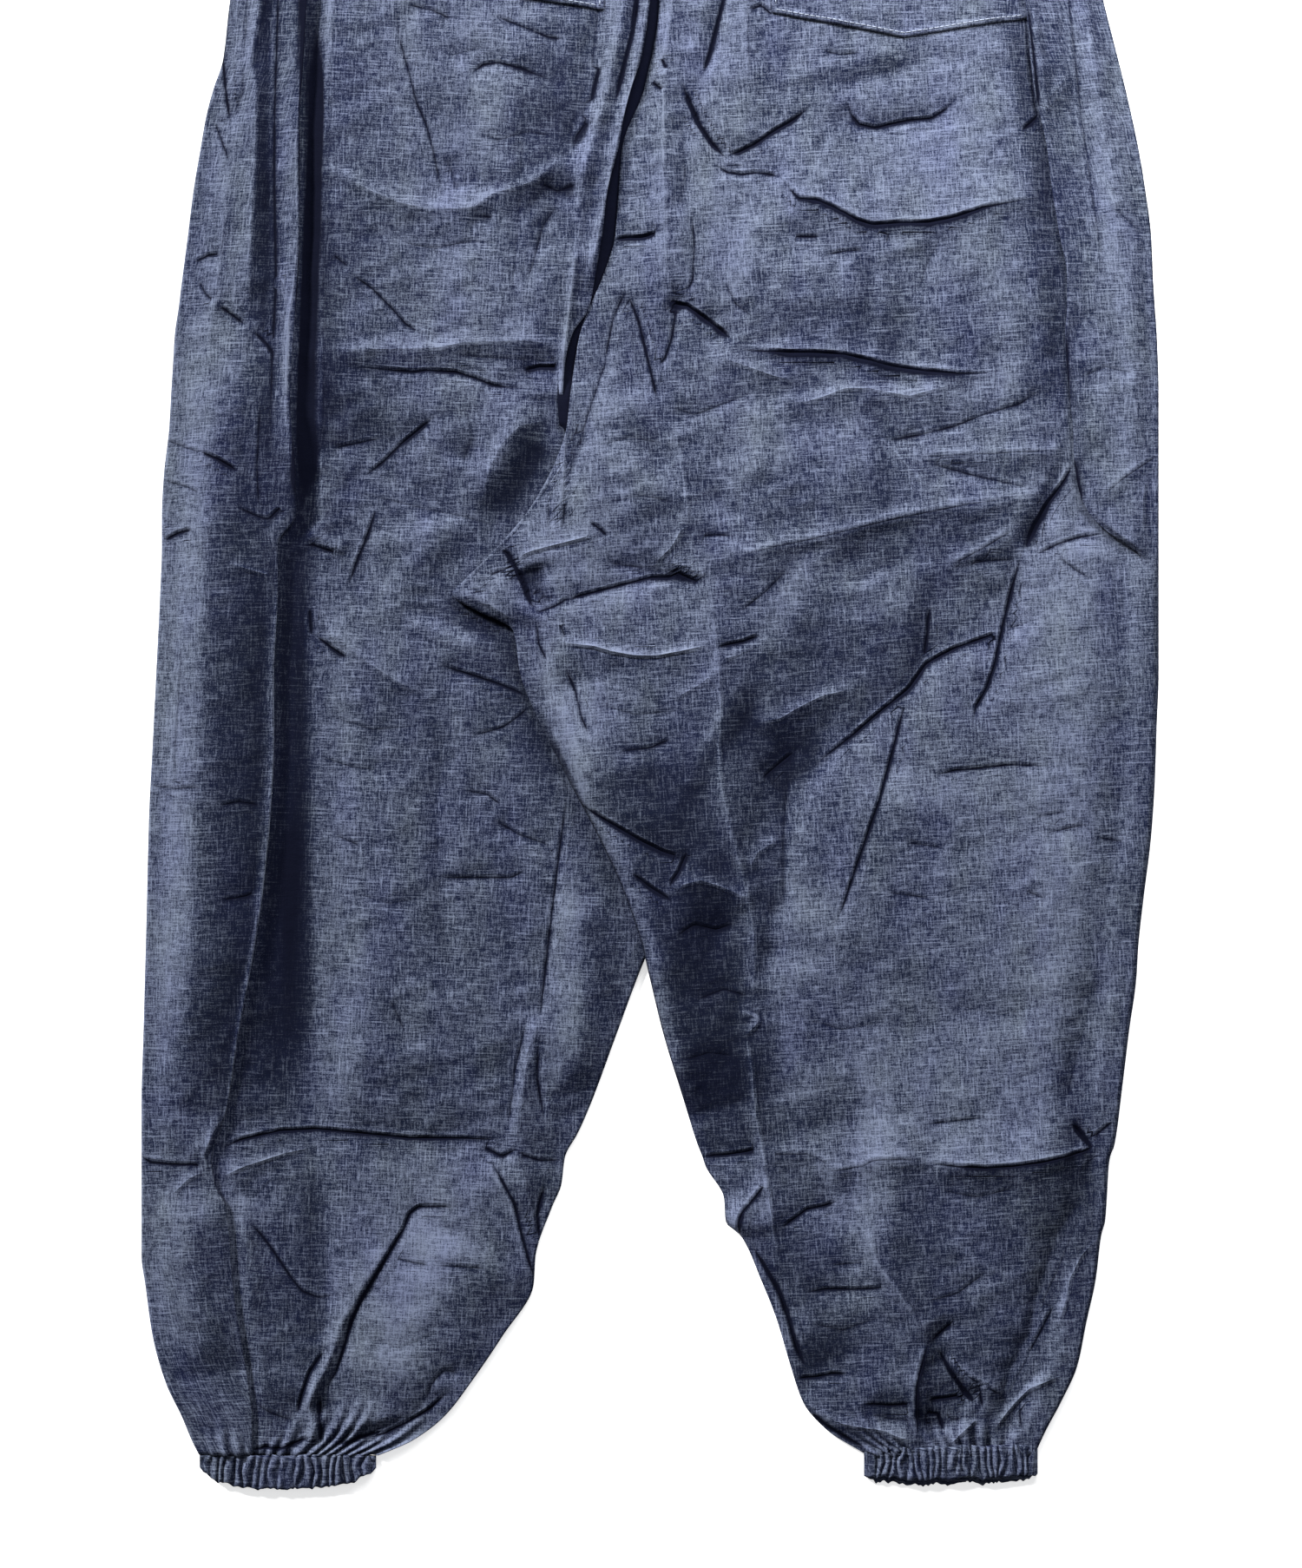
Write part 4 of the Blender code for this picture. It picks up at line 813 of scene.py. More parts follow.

# The relief painted into the colour: paler rubbed ridges, painted hollow shade, painted light and shade by
# slope.
WEAR_AND_SHADE_GAIN = 0.28
WEAR_AND_SHADE_REACH = 4
TILT_GAIN = 2.0
TILT_ACROSS = 0.66
TILT_DOWN = 0.75
SMALLEST_STEP = 0.2
BROAD_SHADE_GAIN = 3.0

# The grain's second axis is shifted by this many times the first one's shift.
GRAIN_SHIFT_DOWN = 1.7


class Streaks(NamedTuple):
    """A noise in the cloth: its lumps for each metre across and down, its detail and its roughness."""

    across: float
    down: float
    detail: float
    roughness: float


WARP = Streaks(1150.0, 170.0, 2.0, 0.65)
WEFT = Streaks(150.0, 1250.0, 2.0, 0.65)
WARP_SLUBS = Streaks(980.0, 70.0, 1.0, 0.5)
WEFT_SLUBS = Streaks(55.0, 1050.0, 1.0, 0.5)
SPECKS = Streaks(1250.0, 1250.0, 2.0, 0.7)
PATCHES = Streaks(60.0, 26.0, 4.0, 0.6)
HUES = Streaks(38.0, 17.0, 3.0, 0.6)
BREAKS = Streaks(120.0, 120.0, 1.0, 0.5)
GLEAMS = Streaks(20.0, 20.0, 2.0, 0.5)
RUMPLES = Streaks(70.0, 110.0, 4.0, 0.6)
WAVES = Streaks(18.0, 34.0, 2.0, 0.5)

# The photograph's frame on the floor, the floor and the lights, in metres, with the sensor in millimetres.
FRAME_HEIGHT = 0.849
FRAME_MIDDLE = (0.0005, -0.1213)
SENSOR = 36.0
FLOOR_HALF = 4.0
KEY_FROM = (-1.2, 1.2, 0.7)
KEY_STRENGTH = 7.6
KEY_ANGLE = 0.16
WINDOW_FROM = (0.3, 0.8, 0.55)
WINDOW_AIM = (0.0, 0.2, 0.0)
WINDOW_SIZE = (0.8, 0.4)
WINDOW_POWER = 20.0
SKY_COLOUR = (0.95, 0.97, 1.0, 1.0)
SKY_STRENGTH = 0.26


def smooth_step(share):
    """0 below 0, 1 above 1, and a smooth rise between, for numbers or arrays."""
    share = np.clip(share, 0.0, 1.0)
    return share * share * (3 - 2 * share)


def ramp(value, start, end):
    """A smooth rise from 0 at start to 1 at end, where end may be the lower of the two."""
    return smooth_step((value - start) / (end - start))


def bell(value, middle, width):
    """1 at the middle, and smoothly less on both sides."""
    return np.exp(-(((value - middle) / width) ** 2))


def edge_curve(sections, column):
    """x of one edge as a smooth function of y that never overshoots the sections' own values."""
    rows = sorted(sections, key=lambda section: section.y)
    ys = np.array([row.y for row in rows], float)
    xs = np.array([getattr(row, column) for row in rows], float)
    slopes = np.diff(xs) / np.diff(ys)
    before, after = slopes[:-1], slopes[1:]
    both = np.where(before + after == 0, 1, before + after)
    middle = np.where(before * after > 0, 2 * before * after / both, 0)
    tangents = np.concatenate([slopes[:1], middle, slopes[-1:]])

    def at(y):
        y = np.clip(y, ys[0], ys[-1])
        i = np.clip(np.searchsorted(ys, y, side="right") - 1, 0, len(ys) - 2)
        run = ys[i + 1] - ys[i]
        t = (y - ys[i]) / run
        return (
            xs[i] * (1 + 2 * t) * (1 - t) ** 2
            + tangents[i] * run * t * (1 - t) ** 2
            + xs[i + 1] * t * t * (3 - 2 * t)
            - tangents[i + 1] * run * t * t * (1 - t)
        )

    return at


LEFT_OUTER = edge_curve(LEFT_LEG, "outer")
LEFT_SEAM = edge_curve(LEFT_LEG, "seam")
LEFT_INNER = edge_curve(LEFT_LEG, "inner")
RIGHT_INNER = edge_curve(RIGHT_LEG, "inner")
RIGHT_SEAM = edge_curve(RIGHT_LEG, "seam")
RIGHT_OUTER = edge_curve(RIGHT_LEG, "outer")


def along_path(path, x, y):
    """Each point's distance from a path, above 0 on its left, and its share of the way along it."""
    nearest = np.full_like(x, np.inf)
    side = np.ones_like(x)
    part = np.zeros_like(x)
    count = len(path) - 1
    for i, ((ax, ay), (bx, by)) in enumerate(zip(path, path[1:])):
        dx, dy = bx - ax, by - ay
        along = np.clip(((x - ax) * dx + (y - ay) * dy) / (dx * dx + dy * dy), 0, 1)
        off_x, off_y = x - ax - along * dx, y - ay - along * dy
        distance = np.hypot(off_x, off_y)
        closer = distance < nearest
        nearest = np.where(closer, distance, nearest)
        side = np.where(closer, np.sign(dx * off_y - dy * off_x), side)
        part = np.where(closer, (i + along) / count, part)
    return np.where(side > 0, nearest, -nearest), part


def fade_at_ends(part):
    """1 along the middle of a crease, and less at its two ends."""
    return ramp(part, CREASE_BEGINS, CREASE_FULL) * ramp(1 - part, CREASE_BEGINS, CREASE_FULL)


def crease_height(creases, x, y):
    """The height that the creases give each point: full along the path, less towards its ends and sides."""
    total = np.zeros_like(x)
    for crease in creases:
        off, part = along_path(crease.path, x, y)
        slope = np.where(off > 0, crease.left, crease.right)
        total += crease.height * fade_at_ends(part) * np.exp(-((np.abs(off) / slope) ** crease.point))
    return total


def fold_lines(creases, x, y):
    """For the painted shade line of each crease: the distance from it, and how dark it is, from -1 to 1.

    The distance is above 0 on the side of the painted rim: a painted highlight on the lit side of a dark line,
    and a painted shadow on the other side of a pale one.
    """
    distance = np.full_like(x, LINE_REACH)
    strength = np.zeros_like(x)
    for crease in creases:
        if not crease.line:
            continue
        off, part = along_path(crease.path, x, y)
        inside = smooth_step(LINE_TAPER * part) * smooth_step(LINE_TAPER * (1 - part))
        size = crease.line * inside * smooth_step((LINE_REACH - np.abs(off)) / LINE_EDGE)
        (ax, ay), (bx, by) = crease.path[0], crease.path[-1]
        lit = 1 if bx - ax + by - ay > 0 else -1
        rim_side = lit if crease.line > 0 else -lit
        stronger = np.abs(size) > np.abs(strength)
        distance = np.where(stronger, off * rim_side, distance)
        strength = np.where(stronger, size, strength)
    return distance, strength


def soft_noise(x, y, size, seed):
    """Smooth random relief from -1 to 1, with lumps of the given size in millimetres."""
    lattice = np.random.default_rng(seed).uniform(-1, 1, (LATTICE, LATTICE))
    u, v = x / size + LATTICE_MIDDLE, y / size + LATTICE_MIDDLE
    i, j = np.floor(u).astype(int), np.floor(v).astype(int)
    s, t = smooth_step(u - i), smooth_step(v - j)
    i, j = i % (LATTICE - 1), j % (LATTICE - 1)
    low = lattice[i, j] * (1 - s) + lattice[i + 1, j] * s
    high = lattice[i, j + 1] * (1 - s) + lattice[i + 1, j + 1] * s
    return low * (1 - t) + high * t


def noise_along(values, size, seed):
    """Smooth random values from -1 to 1 that change along one direction only."""
    return soft_noise(values, np.zeros_like(values), size, seed)


def wrinkles(kind, x, y, seed):
    """One kind of small crease: narrow ridges between wide shallow hollows."""
    slanted_x = kind.x_by_x * x + kind.x_by_y * y
    slanted_y = kind.y_by_y * y + kind.y_by_x * x
    return kind.height * (WRINKLE_TOP - np.abs(soft_noise(slanted_x, slanted_y, kind.size, seed)))


def crumple(x, y, seed):
    """The small creases and unevenness of cloth that was folded and laid out again."""
    broad = 0.45 * soft_noise(x * 0.7, y * 1.2, 44, seed)
    across = wrinkles(ACROSS_WRINKLES, x, y, seed + 1)
    slanting = wrinkles(SLANTING_WRINKLES, x, y, seed + 2)
    fine = wrinkles(FINE_WRINKLES, x, y, seed + 3)
    where = 0.5 + 0.5 * soft_noise(x, y, 60, seed + 4)
    return broad + across * where + slanting * (1 - where) + fine


def gathers(x, y, seam_y, pitch, run, height, seed):
    """Uneven waves that start at a gathered seam and fade over a run."""
    shifted = x + noise_along(x, pitch * 2.2, seed) * pitch * 0.6
    longer = 0.7 + 0.5 * noise_along(x, pitch * 1.6, seed + 1)
    fade = 1 - smooth_step(np.abs(y - seam_y) / (run * longer))
    return height * fade * (0.5 - 0.5 * np.cos(2 * np.pi * shifted / pitch))


def hem_gathers(x, y, left, right, height, seed):
    """The gathers above a cuff, which fan out from it between the two edges of a panel."""
    share = (x - left(y)) / np.maximum(right(y) - left(y), 1)
    at_hem = left(HEM_SEAM) + share * (right(HEM_SEAM) - left(HEM_SEAM))
    return gathers(at_hem, y, HEM_SEAM, HEM_GATHER_PITCH, HEM_GATHER_RUN, height, seed)


def puff(x, left, right, y, rise):
    """How far a panel lifts off the one under it: nothing at its edges and full inside."""
    sides = smooth_step((x - left) / PUFF_RUN) * smooth_step((right - x) / PUFF_RUN)
    ends = smooth_step((WAIST_SEAM - y) / PUFF_RUN) * smooth_step((y - HEM_SEAM) / PUFF_RUN)
    return rise * sides * ends


def crossing_lift(x, y):
    """How far the right leg is carried up where it lies over the left leg."""
    begun = ramp(y, CROSSING_TOP, CROSSING_TOP - CROSSING_BEGIN_RUN)
    not_ended = ramp(y, LEGS_PART - CROSSING_END_RUN, LEGS_PART)
    beyond = ramp(x - LEFT_INNER(y), CROSSING_MARGIN, CROSSING_MARGIN + CROSSING_RUN)
    return 2 * LAYER * begun * not_ended * (1 - beyond)


def covered_from(y):
    """x from which the right leg lies on the left one, with a little room."""
    return np.minimum.reduce([RIGHT_INNER(y + step) for step in (-CROSSING_ROOM, 0, CROSSING_ROOM)])


def clear_of_crossing(x, y):
    """1 where nothing lies on the left leg, 0 under the right leg."""
    return np.where(y > LEGS_CROSS + 16, 1.0, ramp(covered_from(y) - 3 - x, 0, CROSSING_RUN))


def back_relief(creases, x, y, left, right, seed):
    """The creases, crumpling and gathers that the two back panels have alike."""
    crumpled = crumple(x, y, seed) * (1 + 0.5 * ramp(y, -90, 0))
    at_waist = gathers(x, y, WAIST_SEAM, WAIST_GATHER_PITCH, WAIST_GATHER_RUN, WAIST_GATHER_HEIGHT, seed + 5)
    at_hem = hem_gathers(x, y, left, right, HEM_GATHER_HEIGHT, seed + 7)
    return crease_height(creases, x, y) + crumpled + at_waist + at_hem


def left_back_height(x, y):
    """The left back panel: level with the strip beside it, and pressed flat under the right leg."""
    relief = puff(x, LEFT_SEAM(y) + 40 * ramp(y, 140, 80) + 4, LEFT_INNER(y), y, LEFT_PUFF)
    relief = relief + back_relief(LEFT_BACK_CREASES + LEFT_BACK_SWELLS, x, y, LEFT_SEAM, LEFT_INNER, 3)
    relief = relief + BULGE * bell(x, covered_from(y) - BULGE_PLACE, BULGE_WIDTH) * ramp(y, 96, 76)
    relief = relief * ramp(x - LEFT_SEAM(y), 1, 10)
    shared = crease_height(LEFT_LEG_SWELLS, x, y)
    return TOP_LAYER - PRESSED + np.maximum(shared + relief, -PRESSED) * clear_of_crossing(x, y)


def right_back_height(x, y):
    """The right back panel: over the left leg on one side, and over or beside the strip on the other."""
    from_inner = x - RIGHT_INNER(y)
    from_seam = x - RIGHT_SEAM(y)
    from_outer = x - RIGHT_OUTER(y)
    at_edge = ramp(from_inner, -3, 6)
    relief = puff(x, RIGHT_INNER(y), RIGHT_SEAM(y) - 6, y, RIGHT_PUFF)
    relief = relief + back_relief(RIGHT_BACK_CREASES + RIGHT_BACK_SWELLS, x, y, RIGHT_INNER, RIGHT_SEAM, 23)
    relief = np.maximum(relief, -PRESSED) * ramp(from_seam, -1, -10) * at_edge
    shared = crease_height(RIGHT_LEG_SWELLS, x, y) * at_edge * ramp(from_outer, 0, -26)
    over_strip = 1.8 * ramp(from_seam, -14, -2) - 0.3 * ramp(from_outer, -3, -1)
    return TOP_LAYER - PRESSED + crossing_lift(x, y) + shared + over_strip * ramp(y, 6, -10) + relief


def seam_fold(from_seam):
    """1 at the side seam, and less on both sides of it."""
    return np.exp(-((np.abs(from_seam) / FOLD_WIDTH) ** FOLD_POINT))


def left_strip_height(x, y):
    """The left front panel's strip on top, which rises to a loose fold along the side seam."""
    rise = (0.3 + 4.6 * ramp(y, 12, 42)) * (0.85 + 0.25 * noise_along(y, 30, 41))
    fold = rise * seam_fold(x - LEFT_SEAM(y))
    relief = crease_height(LEFT_STRIP_CREASES, x, y) + crumple(x, y, 43)
    relief += hem_gathers(x, y, LEFT_OUTER, LEFT_SEAM, STRIP_GATHER_HEIGHT, 45)
    away = ramp(x - LEFT_SEAM(y), 0, -5) * ramp(x - LEFT_OUTER(y), 0, 7)
    shared = crease_height(LEFT_LEG_SWELLS, x, y) * ramp(x - LEFT_OUTER(y), 0, 26)
    return STRIP_LAYER + shared + fold + np.maximum(relief, -STRIP_SUNK) * away


def right_strip_height(x, y):
    """The right front panel's strip on top, which lies over the pocket's corner and ends at the thigh."""
    fold = (0.2 + 2.4 * ramp(y, 8, 38)) * seam_fold(x - RIGHT_SEAM(y))
    over_pocket = POCKET_LIFT * ramp(y, 246, 270)
    relief = crease_height(RIGHT_STRIP_CREASES, x, y) + crumple(x, y, 47)
    away = ramp(x - RIGHT_SEAM(y), 0, 5) * ramp(x - RIGHT_OUTER(y), 0, -7) * ramp(y, -5, 5)
    shared = crease_height(RIGHT_LEG_SWELLS, x, y) * ramp(x - RIGHT_OUTER(y), 0, -26)
    return STRIP_LAYER + shared + fold + over_pocket + np.maximum(relief, -STRIP_SUNK) * away


class Wave:
    """A shader socket that takes part in Python sums, so that node maths reads as an expression."""

    def __init__(self, tree, socket):
        self.tree = tree
        self.socket = socket

    def _math(self, operation, first, second):
        node = self.tree.nodes.new("ShaderNodeMath")
        node.operation = operation
        for slot, value in zip(node.inputs, (first, second)):
            if isinstance(value, Wave):
                self.tree.links.new(value.socket, slot)
            else:
                slot.default_value = value
        return Wave(self.tree, node.outputs[0])

    def __add__(self, other):
        return self._math("ADD", self, other)

    __radd__ = __add__

    def __sub__(self, other):
        return self._math("SUBTRACT", self, other)

    def __rsub__(self, other):
        return self._math("SUBTRACT", other, self)

    def __mul__(self, other):
        return self._math("MULTIPLY", self, other)

    __rmul__ = __mul__

    def above(self, least):
        return self._math("MAXIMUM", self, least)

    def below(self, most):
        return self._math("MINIMUM", self, most)

    def clamped(self):
        return self.below(1.0).above(0.0)

    def size(self):
        return self._math("ABSOLUTE", self, 0.0)

    def exponential(self):
        return self._math("EXPONENT", self, 0.0)


class Finish:
    """A new material with its shader, and one way to add any node to it."""

    def __init__(self, name, roughness, **constants):
        self.material = bpy.data.materials.new(name)
        self.material.use_nodes = True
        self.tree = self.material.node_tree
        self.shader = self.tree.nodes["Principled BSDF"]
        self.shader.inputs["Roughness"].default_value = roughness
        for socket, value in constants.items():
            self.shader.inputs[socket.replace("_", " ")].default_value = value

    def node(self, kind, settings=None, inputs=None, output=0):
        """Adds a node with its settings and its inputs, which are values or waves, and gives one output."""
        node = self.tree.nodes.new(kind)
        for key, value in (settings or {}).items():
            setattr(node, key, value)
        for key, value in (inputs or {}).items():
            if isinstance(value, Wave):
                self.tree.links.new(value.socket, node.inputs[key])
            else:
                node.inputs[key].default_value = value
        return Wave(self.tree, node.outputs[output])

    def feed(self, socket, wave):
        """Gives one of the shader's inputs a wave."""
        self.tree.links.new(wave.socket, self.shader.inputs[socket])

    def attribute(self, name):
        """A value that the mesh stores at each point."""
        return self.node("ShaderNodeAttribute", {"attribute_name": name}, output="Fac")

    def noise(self, where, lumps, detail=2.0, roughness=0.5):
        """Random values about 0.5, with so many lumps for each metre along each axis."""
        stretched = self.node("ShaderNodeMapping", {}, {"Vector": where, "Scale": lumps})
        inputs = {"Vector": stretched, "Scale": 1.0, "Detail": detail, "Roughness": roughness}
        return self.node("ShaderNodeTexNoise", {"noise_dimensions": "3D"}, inputs)

    def streaks(self, grain, kind):
        """One of the cloth's noises, laid along its grain."""
        return self.noise(grain, (kind.across, kind.down, 1.0), kind.detail, kind.roughness)

    def mix(self, amount, first, second):
        """A colour between two, each given as red, green and blue or as a wave."""
        first, second = (end if isinstance(end, Wave) else (*end, 1.0) for end in (first, second))
        return self.node("ShaderNodeMix", {"data_type": "RGBA"}, {0: amount, 6: first, 7: second}, output=2)


def chambray(name, colours, depth=0.0):
    """Indigo and white yarns: short slubs both ways, bluer and greyer patches, and painted light and shade
    that follow folds.

    depth makes the whole cloth darker.
    """
    finish = Finish(name, 0.92, Specular_IOR_Level=0.06)
    grain = finish.node("ShaderNodeUVMap", {"uv_map": "grain"})
    down, across, slubs_down, slubs_across, specks, patches = (
        finish.streaks(grain, kind) for kind in (WARP, WEFT, WARP_SLUBS, WEFT_SLUBS, SPECKS, PATCHES)
    )
    hue, breaks, gleam, rumple, waves = (
        finish.streaks(grain, kind) for kind in (HUES, BREAKS, GLEAMS, RUMPLES, WAVES)
    )
    # Painted light and shade from the mesh: rubbed ridges with hollow shade, light and shade by slope, painted
    # tone rows and crease lines.
    wear_and_shade, tilt, painted_tone, fold, crisp = (
        finish.attribute(key) for key in ("wear_and_shade", "tilt", "tone", "fold", "crisp")
    )

    # How much of the white yarn each spot shows on level cloth.
    slubs = (slubs_down - 0.54).above(0.0) * 1.5 + (slubs_across - 0.54).above(0.0) * 1.8
    yarns = (down - 0.5) * 1.25 + (across - 0.5) * 1.15 + slubs
    tone = yarns + (specks - 0.5) * 1.3 + (patches - 0.5) * 0.3

    # The painted shade line of a crease and the painted highlight rim beside it, and the painted light and
    # shade that the relief and the folds add.
    uneven = breaks * 1.6 + 0.3
    line = (fold.size() * (crisp.size() * 0.8 - 1.7)).exponential() * crisp * uneven
    rim = ((fold - 2.2).size() * -0.9).exponential() * crisp * uneven
    folds = (wear_and_shade - 0.5) * 0.5 + (tilt - 0.5) * 0.78 + painted_tone * 0.5 - line * 0.9 + rim * 0.4
    # Painted light where the sum is above 0, painted shade where it is below.
    paler = folds.above(0.0)
    darker = (folds * -1.0).above(0.0)

    # The yarns' colours, and the painted shade of hollows, crease lines and gaps.
    amount = (tone * 1.38 + paler * 0.9 - darker * 0.42 + (0.18 - depth)).clamped()
    bluer = ((hue - 0.5) * 2.0 + 0.5).clamped()
    dark = finish.mix(bluer, colours.grey_indigo, colours.indigo)
    pale = finish.mix(bluer, colours.white_yarn, colours.blue_yarn)
    # Painted shadow: a tone below -1 paints a gap black.
    gap = (painted_tone * -1.0 - 1.0).above(0.0) * 1.2
    hollow_shade = (((0.3 - wear_and_shade) * 2.6).above(0.0) + darker * 1.1).below(0.78)
    deep = (hollow_shade + line * 1.4 + gap).clamped()
    finish.feed("Base Color", finish.mix(deep, finish.mix(amount, dark, pale), colours.shade))
    finish.feed("Roughness", gleam * 0.16 + 0.82)

    weave = (down + across + slubs_down + specks) * 0.25
    millimetres = weave * 0.3 + rumple * 0.7 + waves * 0.4 - line * 1.0 + rim * 0.5
    bump = {"Strength": 0.85, "Distance": 1.0, "Height": millimetres * MM}
    finish.feed("Normal", finish.node("ShaderNodeBump", {}, bump))
    return finish.material


def clouded(finish, colour, darkest, lumps):
    """Gives a finish a colour that is darker in places, with so many of them for each metre."""
    place = finish.node("ShaderNodeTexCoord", output="Object")
    cloud = finish.noise(place, (lumps, lumps, lumps))
    finish.feed("Base Color", finish.mix(cloud, [value * darkest for value in colour], colour))
    return finish.material


def thread_material(name, colour):
    """A sewing thread, darker in random places."""
    finish = Finish(name, 0.7, Specular_IOR_Level=0.3)
    return clouded(finish, colour, 0.5, 1500.0)


def floor_material(name, colour):
    """A plain pale floor with the faintest unevenness."""
    finish = Finish(name, 0.85, Specular_IOR_Level=0.1, Emission_Strength=0.62, Emission_Color=(*colour, 1.0))
    return clouded(finish, colour, 0.985, 3.0)


class Folds(NamedTuple):
    """The tables that a sheet's painted light and shade follows: its creases' painted lines, its broad swells
    and its painted tone rows.
    """

    creases: tuple = ()
    swells: tuple = ()
    painted_shading: tuple = ()


class Grain(NamedTuple):
    """How the weave lies: its turn and its shift in metres.

    anchor is the u of the line along which the weave is straight, on a sheet that rolls.
    """

    turn: float = 0.0
    shift: float = 0.0
    anchor: float = None


def box_blur(values, reach):
    """The mean of each grid value's neighbours, in both directions."""
    for axis in (0, 1):
        padded = np.concatenate([
            np.repeat(np.take(values, [0], axis), reach + 1, axis),
            values,
            np.repeat(np.take(values, [-1], axis), reach, axis),
        ], axis)
        sums = np.cumsum(padded, axis)
        count = values.shape[axis]
        high = np.take(sums, np.arange(2 * reach + 1, 2 * reach + 1 + count), axis)
        low = np.take(sums, np.arange(0, count), axis)
        values = (high - low) / (2 * reach + 1)
    return values


def wear_and_shade_of(z):
    """0.5 on even cloth, more on ridges, which are rubbed paler, and less in hollows, as painted shade."""
    return np.clip(0.5 + WEAR_AND_SHADE_GAIN * (z - box_blur(z, WEAR_AND_SHADE_REACH)), 0, 1)


def tilt_shade_of(x, y, z, broad):
    """Painted light and shade by slope: 0.5 on level cloth, more where it turns to the upper left, to the key
    light.

    broad is the part of the height that is in the large swells, which counts for more.
    """
    z = z + BROAD_SHADE_GAIN * broad
    x_across = np.gradient(x, axis=1)
    x_across = np.where(np.abs(x_across) < SMALLEST_STEP, SMALLEST_STEP, x_across)
    y_down = np.minimum(np.gradient(y, axis=0), -SMALLEST_STEP)
    slope_x = np.gradient(z, axis=1) / x_across
    slope_y = (np.gradient(z, axis=0) - slope_x * np.gradient(x, axis=0)) / y_down
    return np.clip(0.5 + 0.5 * np.tanh(TILT_GAIN * (TILT_ACROSS * slope_x - TILT_DOWN * slope_y)), 0, 1)


def lay_grain(mesh, grain, x, y, z, at):
    """Lays the weave on a sheet as UVs in metres of cloth, straight or along the line at the anchor."""
    across = x
    if grain.anchor is not None:
        steps = np.hypot(np.diff(x, axis=1), np.diff(z, axis=1))
        along_row = np.concatenate([np.zeros((len(x), 1)), np.cumsum(steps, 1)], 1)
        across = along_row - along_row[:, [round(grain.anchor * steps.shape[1])]]
    cos, sin = math.cos(grain.turn), math.sin(grain.turn)
    u = (across * cos - y * sin) * MM + grain.shift
    v = (across * sin + y * cos) * MM + grain.shift * GRAIN_SHIFT_DOWN
    corners = np.empty(len(mesh.loops), np.int32)
    mesh.loops.foreach_get("vertex_index", corners)
    pairs = np.stack([u[at][corners], v[at][corners]], 1)
    mesh.uv_layers.new(name="grain").data.foreach_set("uv", pairs.astype(np.float32).ravel())


def store_look(mesh, folds, x, y, z, at):
    """Stores what the cloth's material reads at each point: rubbed ridges and painted hollow shade, painted
    light and shade by slope, painted tone, and the nearest painted crease line.
    """
    distance, strength = fold_lines(folds.creases, x, y)
    # Painted light and shade for the material: hollow shade, light and shade by slope, painted tone rows and
    # crease lines.
    look = {
        "wear_and_shade": wear_and_shade_of(z),
        "tilt": tilt_shade_of(x, y, z, crease_height(folds.swells, x, y)),
        "tone": crease_height(folds.painted_shading, x, y),
        "fold": distance,
        "crisp": strength,
    }
    for name, values in look.items():
        mesh.attributes.new(name, "FLOAT", "POINT").data.foreach_set("value", values[at].astype(np.float32))


def close_ring(mesh):
    """Joins a sheet's first column to its last one, which lie on each other."""
    closed = bmesh.new()
    closed.from_mesh(mesh)
    bmesh.ops.remove_doubles(closed, verts=closed.verts, dist=1e-7)
    closed.to_mesh(mesh)
    closed.free()


def new_piece(name, mesh, material):
    """A smooth object of one mesh and one material, in the scene."""
    mesh.shade_smooth()
    mesh.materials.append(material)
    piece = bpy.data.objects.new(name, mesh)
    bpy.context.scene.collection.objects.link(piece)
    return piece


def make_sheet(name, place, cloth, wall, columns, rows, folds=Folds(), grain=Grain(), ring=False):
    """A sheet of cloth placed by place(u, v), with u across and v from the waist down, both from 0 to 1."""
    shape = bmesh.new()
    bmesh.ops.create_grid(shape, x_segments=columns, y_segments=rows, size=0.5)
    mesh = bpy.data.meshes.new(name)
    shape.to_mesh(mesh)
    shape.free()
    flat = np.empty(len(mesh.vertices) * 3, np.float32)
    mesh.vertices.foreach_get("co", flat)
    flat = flat.reshape(-1, 3)
    row = np.rint((0.5 - flat[:, 1]) * rows).astype(int)
    column = np.rint((flat[:, 0] + 0.5) * columns).astype(int)
    at = row, column
    u, v = np.meshgrid(np.arange(columns + 1) / columns, np.arange(rows + 1) / rows)
    x, y, z = (np.broadcast_to(values, u.shape).astype(float) for values in place(u, v))
    points = np.stack([x, y, z], 2) * MM
    mesh.vertices.foreach_set("co", points[at].astype(np.float32).ravel())
    lay_grain(mesh, grain, x, y, z, at)
    store_look(mesh, folds, x, y, z, at)
    if ring:
        close_ring(mesh)
    piece = new_piece(name, mesh, cloth)
    thickness = piece.modifiers.new("Wall", "SOLIDIFY")
    thickness.thickness = wall * MM
    thickness.offset = 0.0
    return piece


def level_of(v):
    """y of a panel's row, from the waist seam at 0 to the hem seam at 1."""
    return WAIST_SEAM + (HEM_SEAM - WAIST_SEAM) * v


def make_left_back(cloth, wall):
    """The left back panel, from under the strip beside it to the centre seam."""

    def place(u, v):
        y = level_of(v)
        left = LEFT_SEAM(y) - BACK_TUCK
        x = left + (LEFT_INNER(y) - left) * u
        return x, y, left_back_height(x, y)

    folds = Folds(LEFT_BACK_CREASES, LEFT_BACK_SWELLS + LEFT_LEG_SWELLS, LEFT_BACK_PAINTED_SHADING)
    grain = Grain(turn=0.03)
    return make_sheet("left_back_panel", place, cloth, wall, columns=112, rows=416, folds=folds, grain=grain)


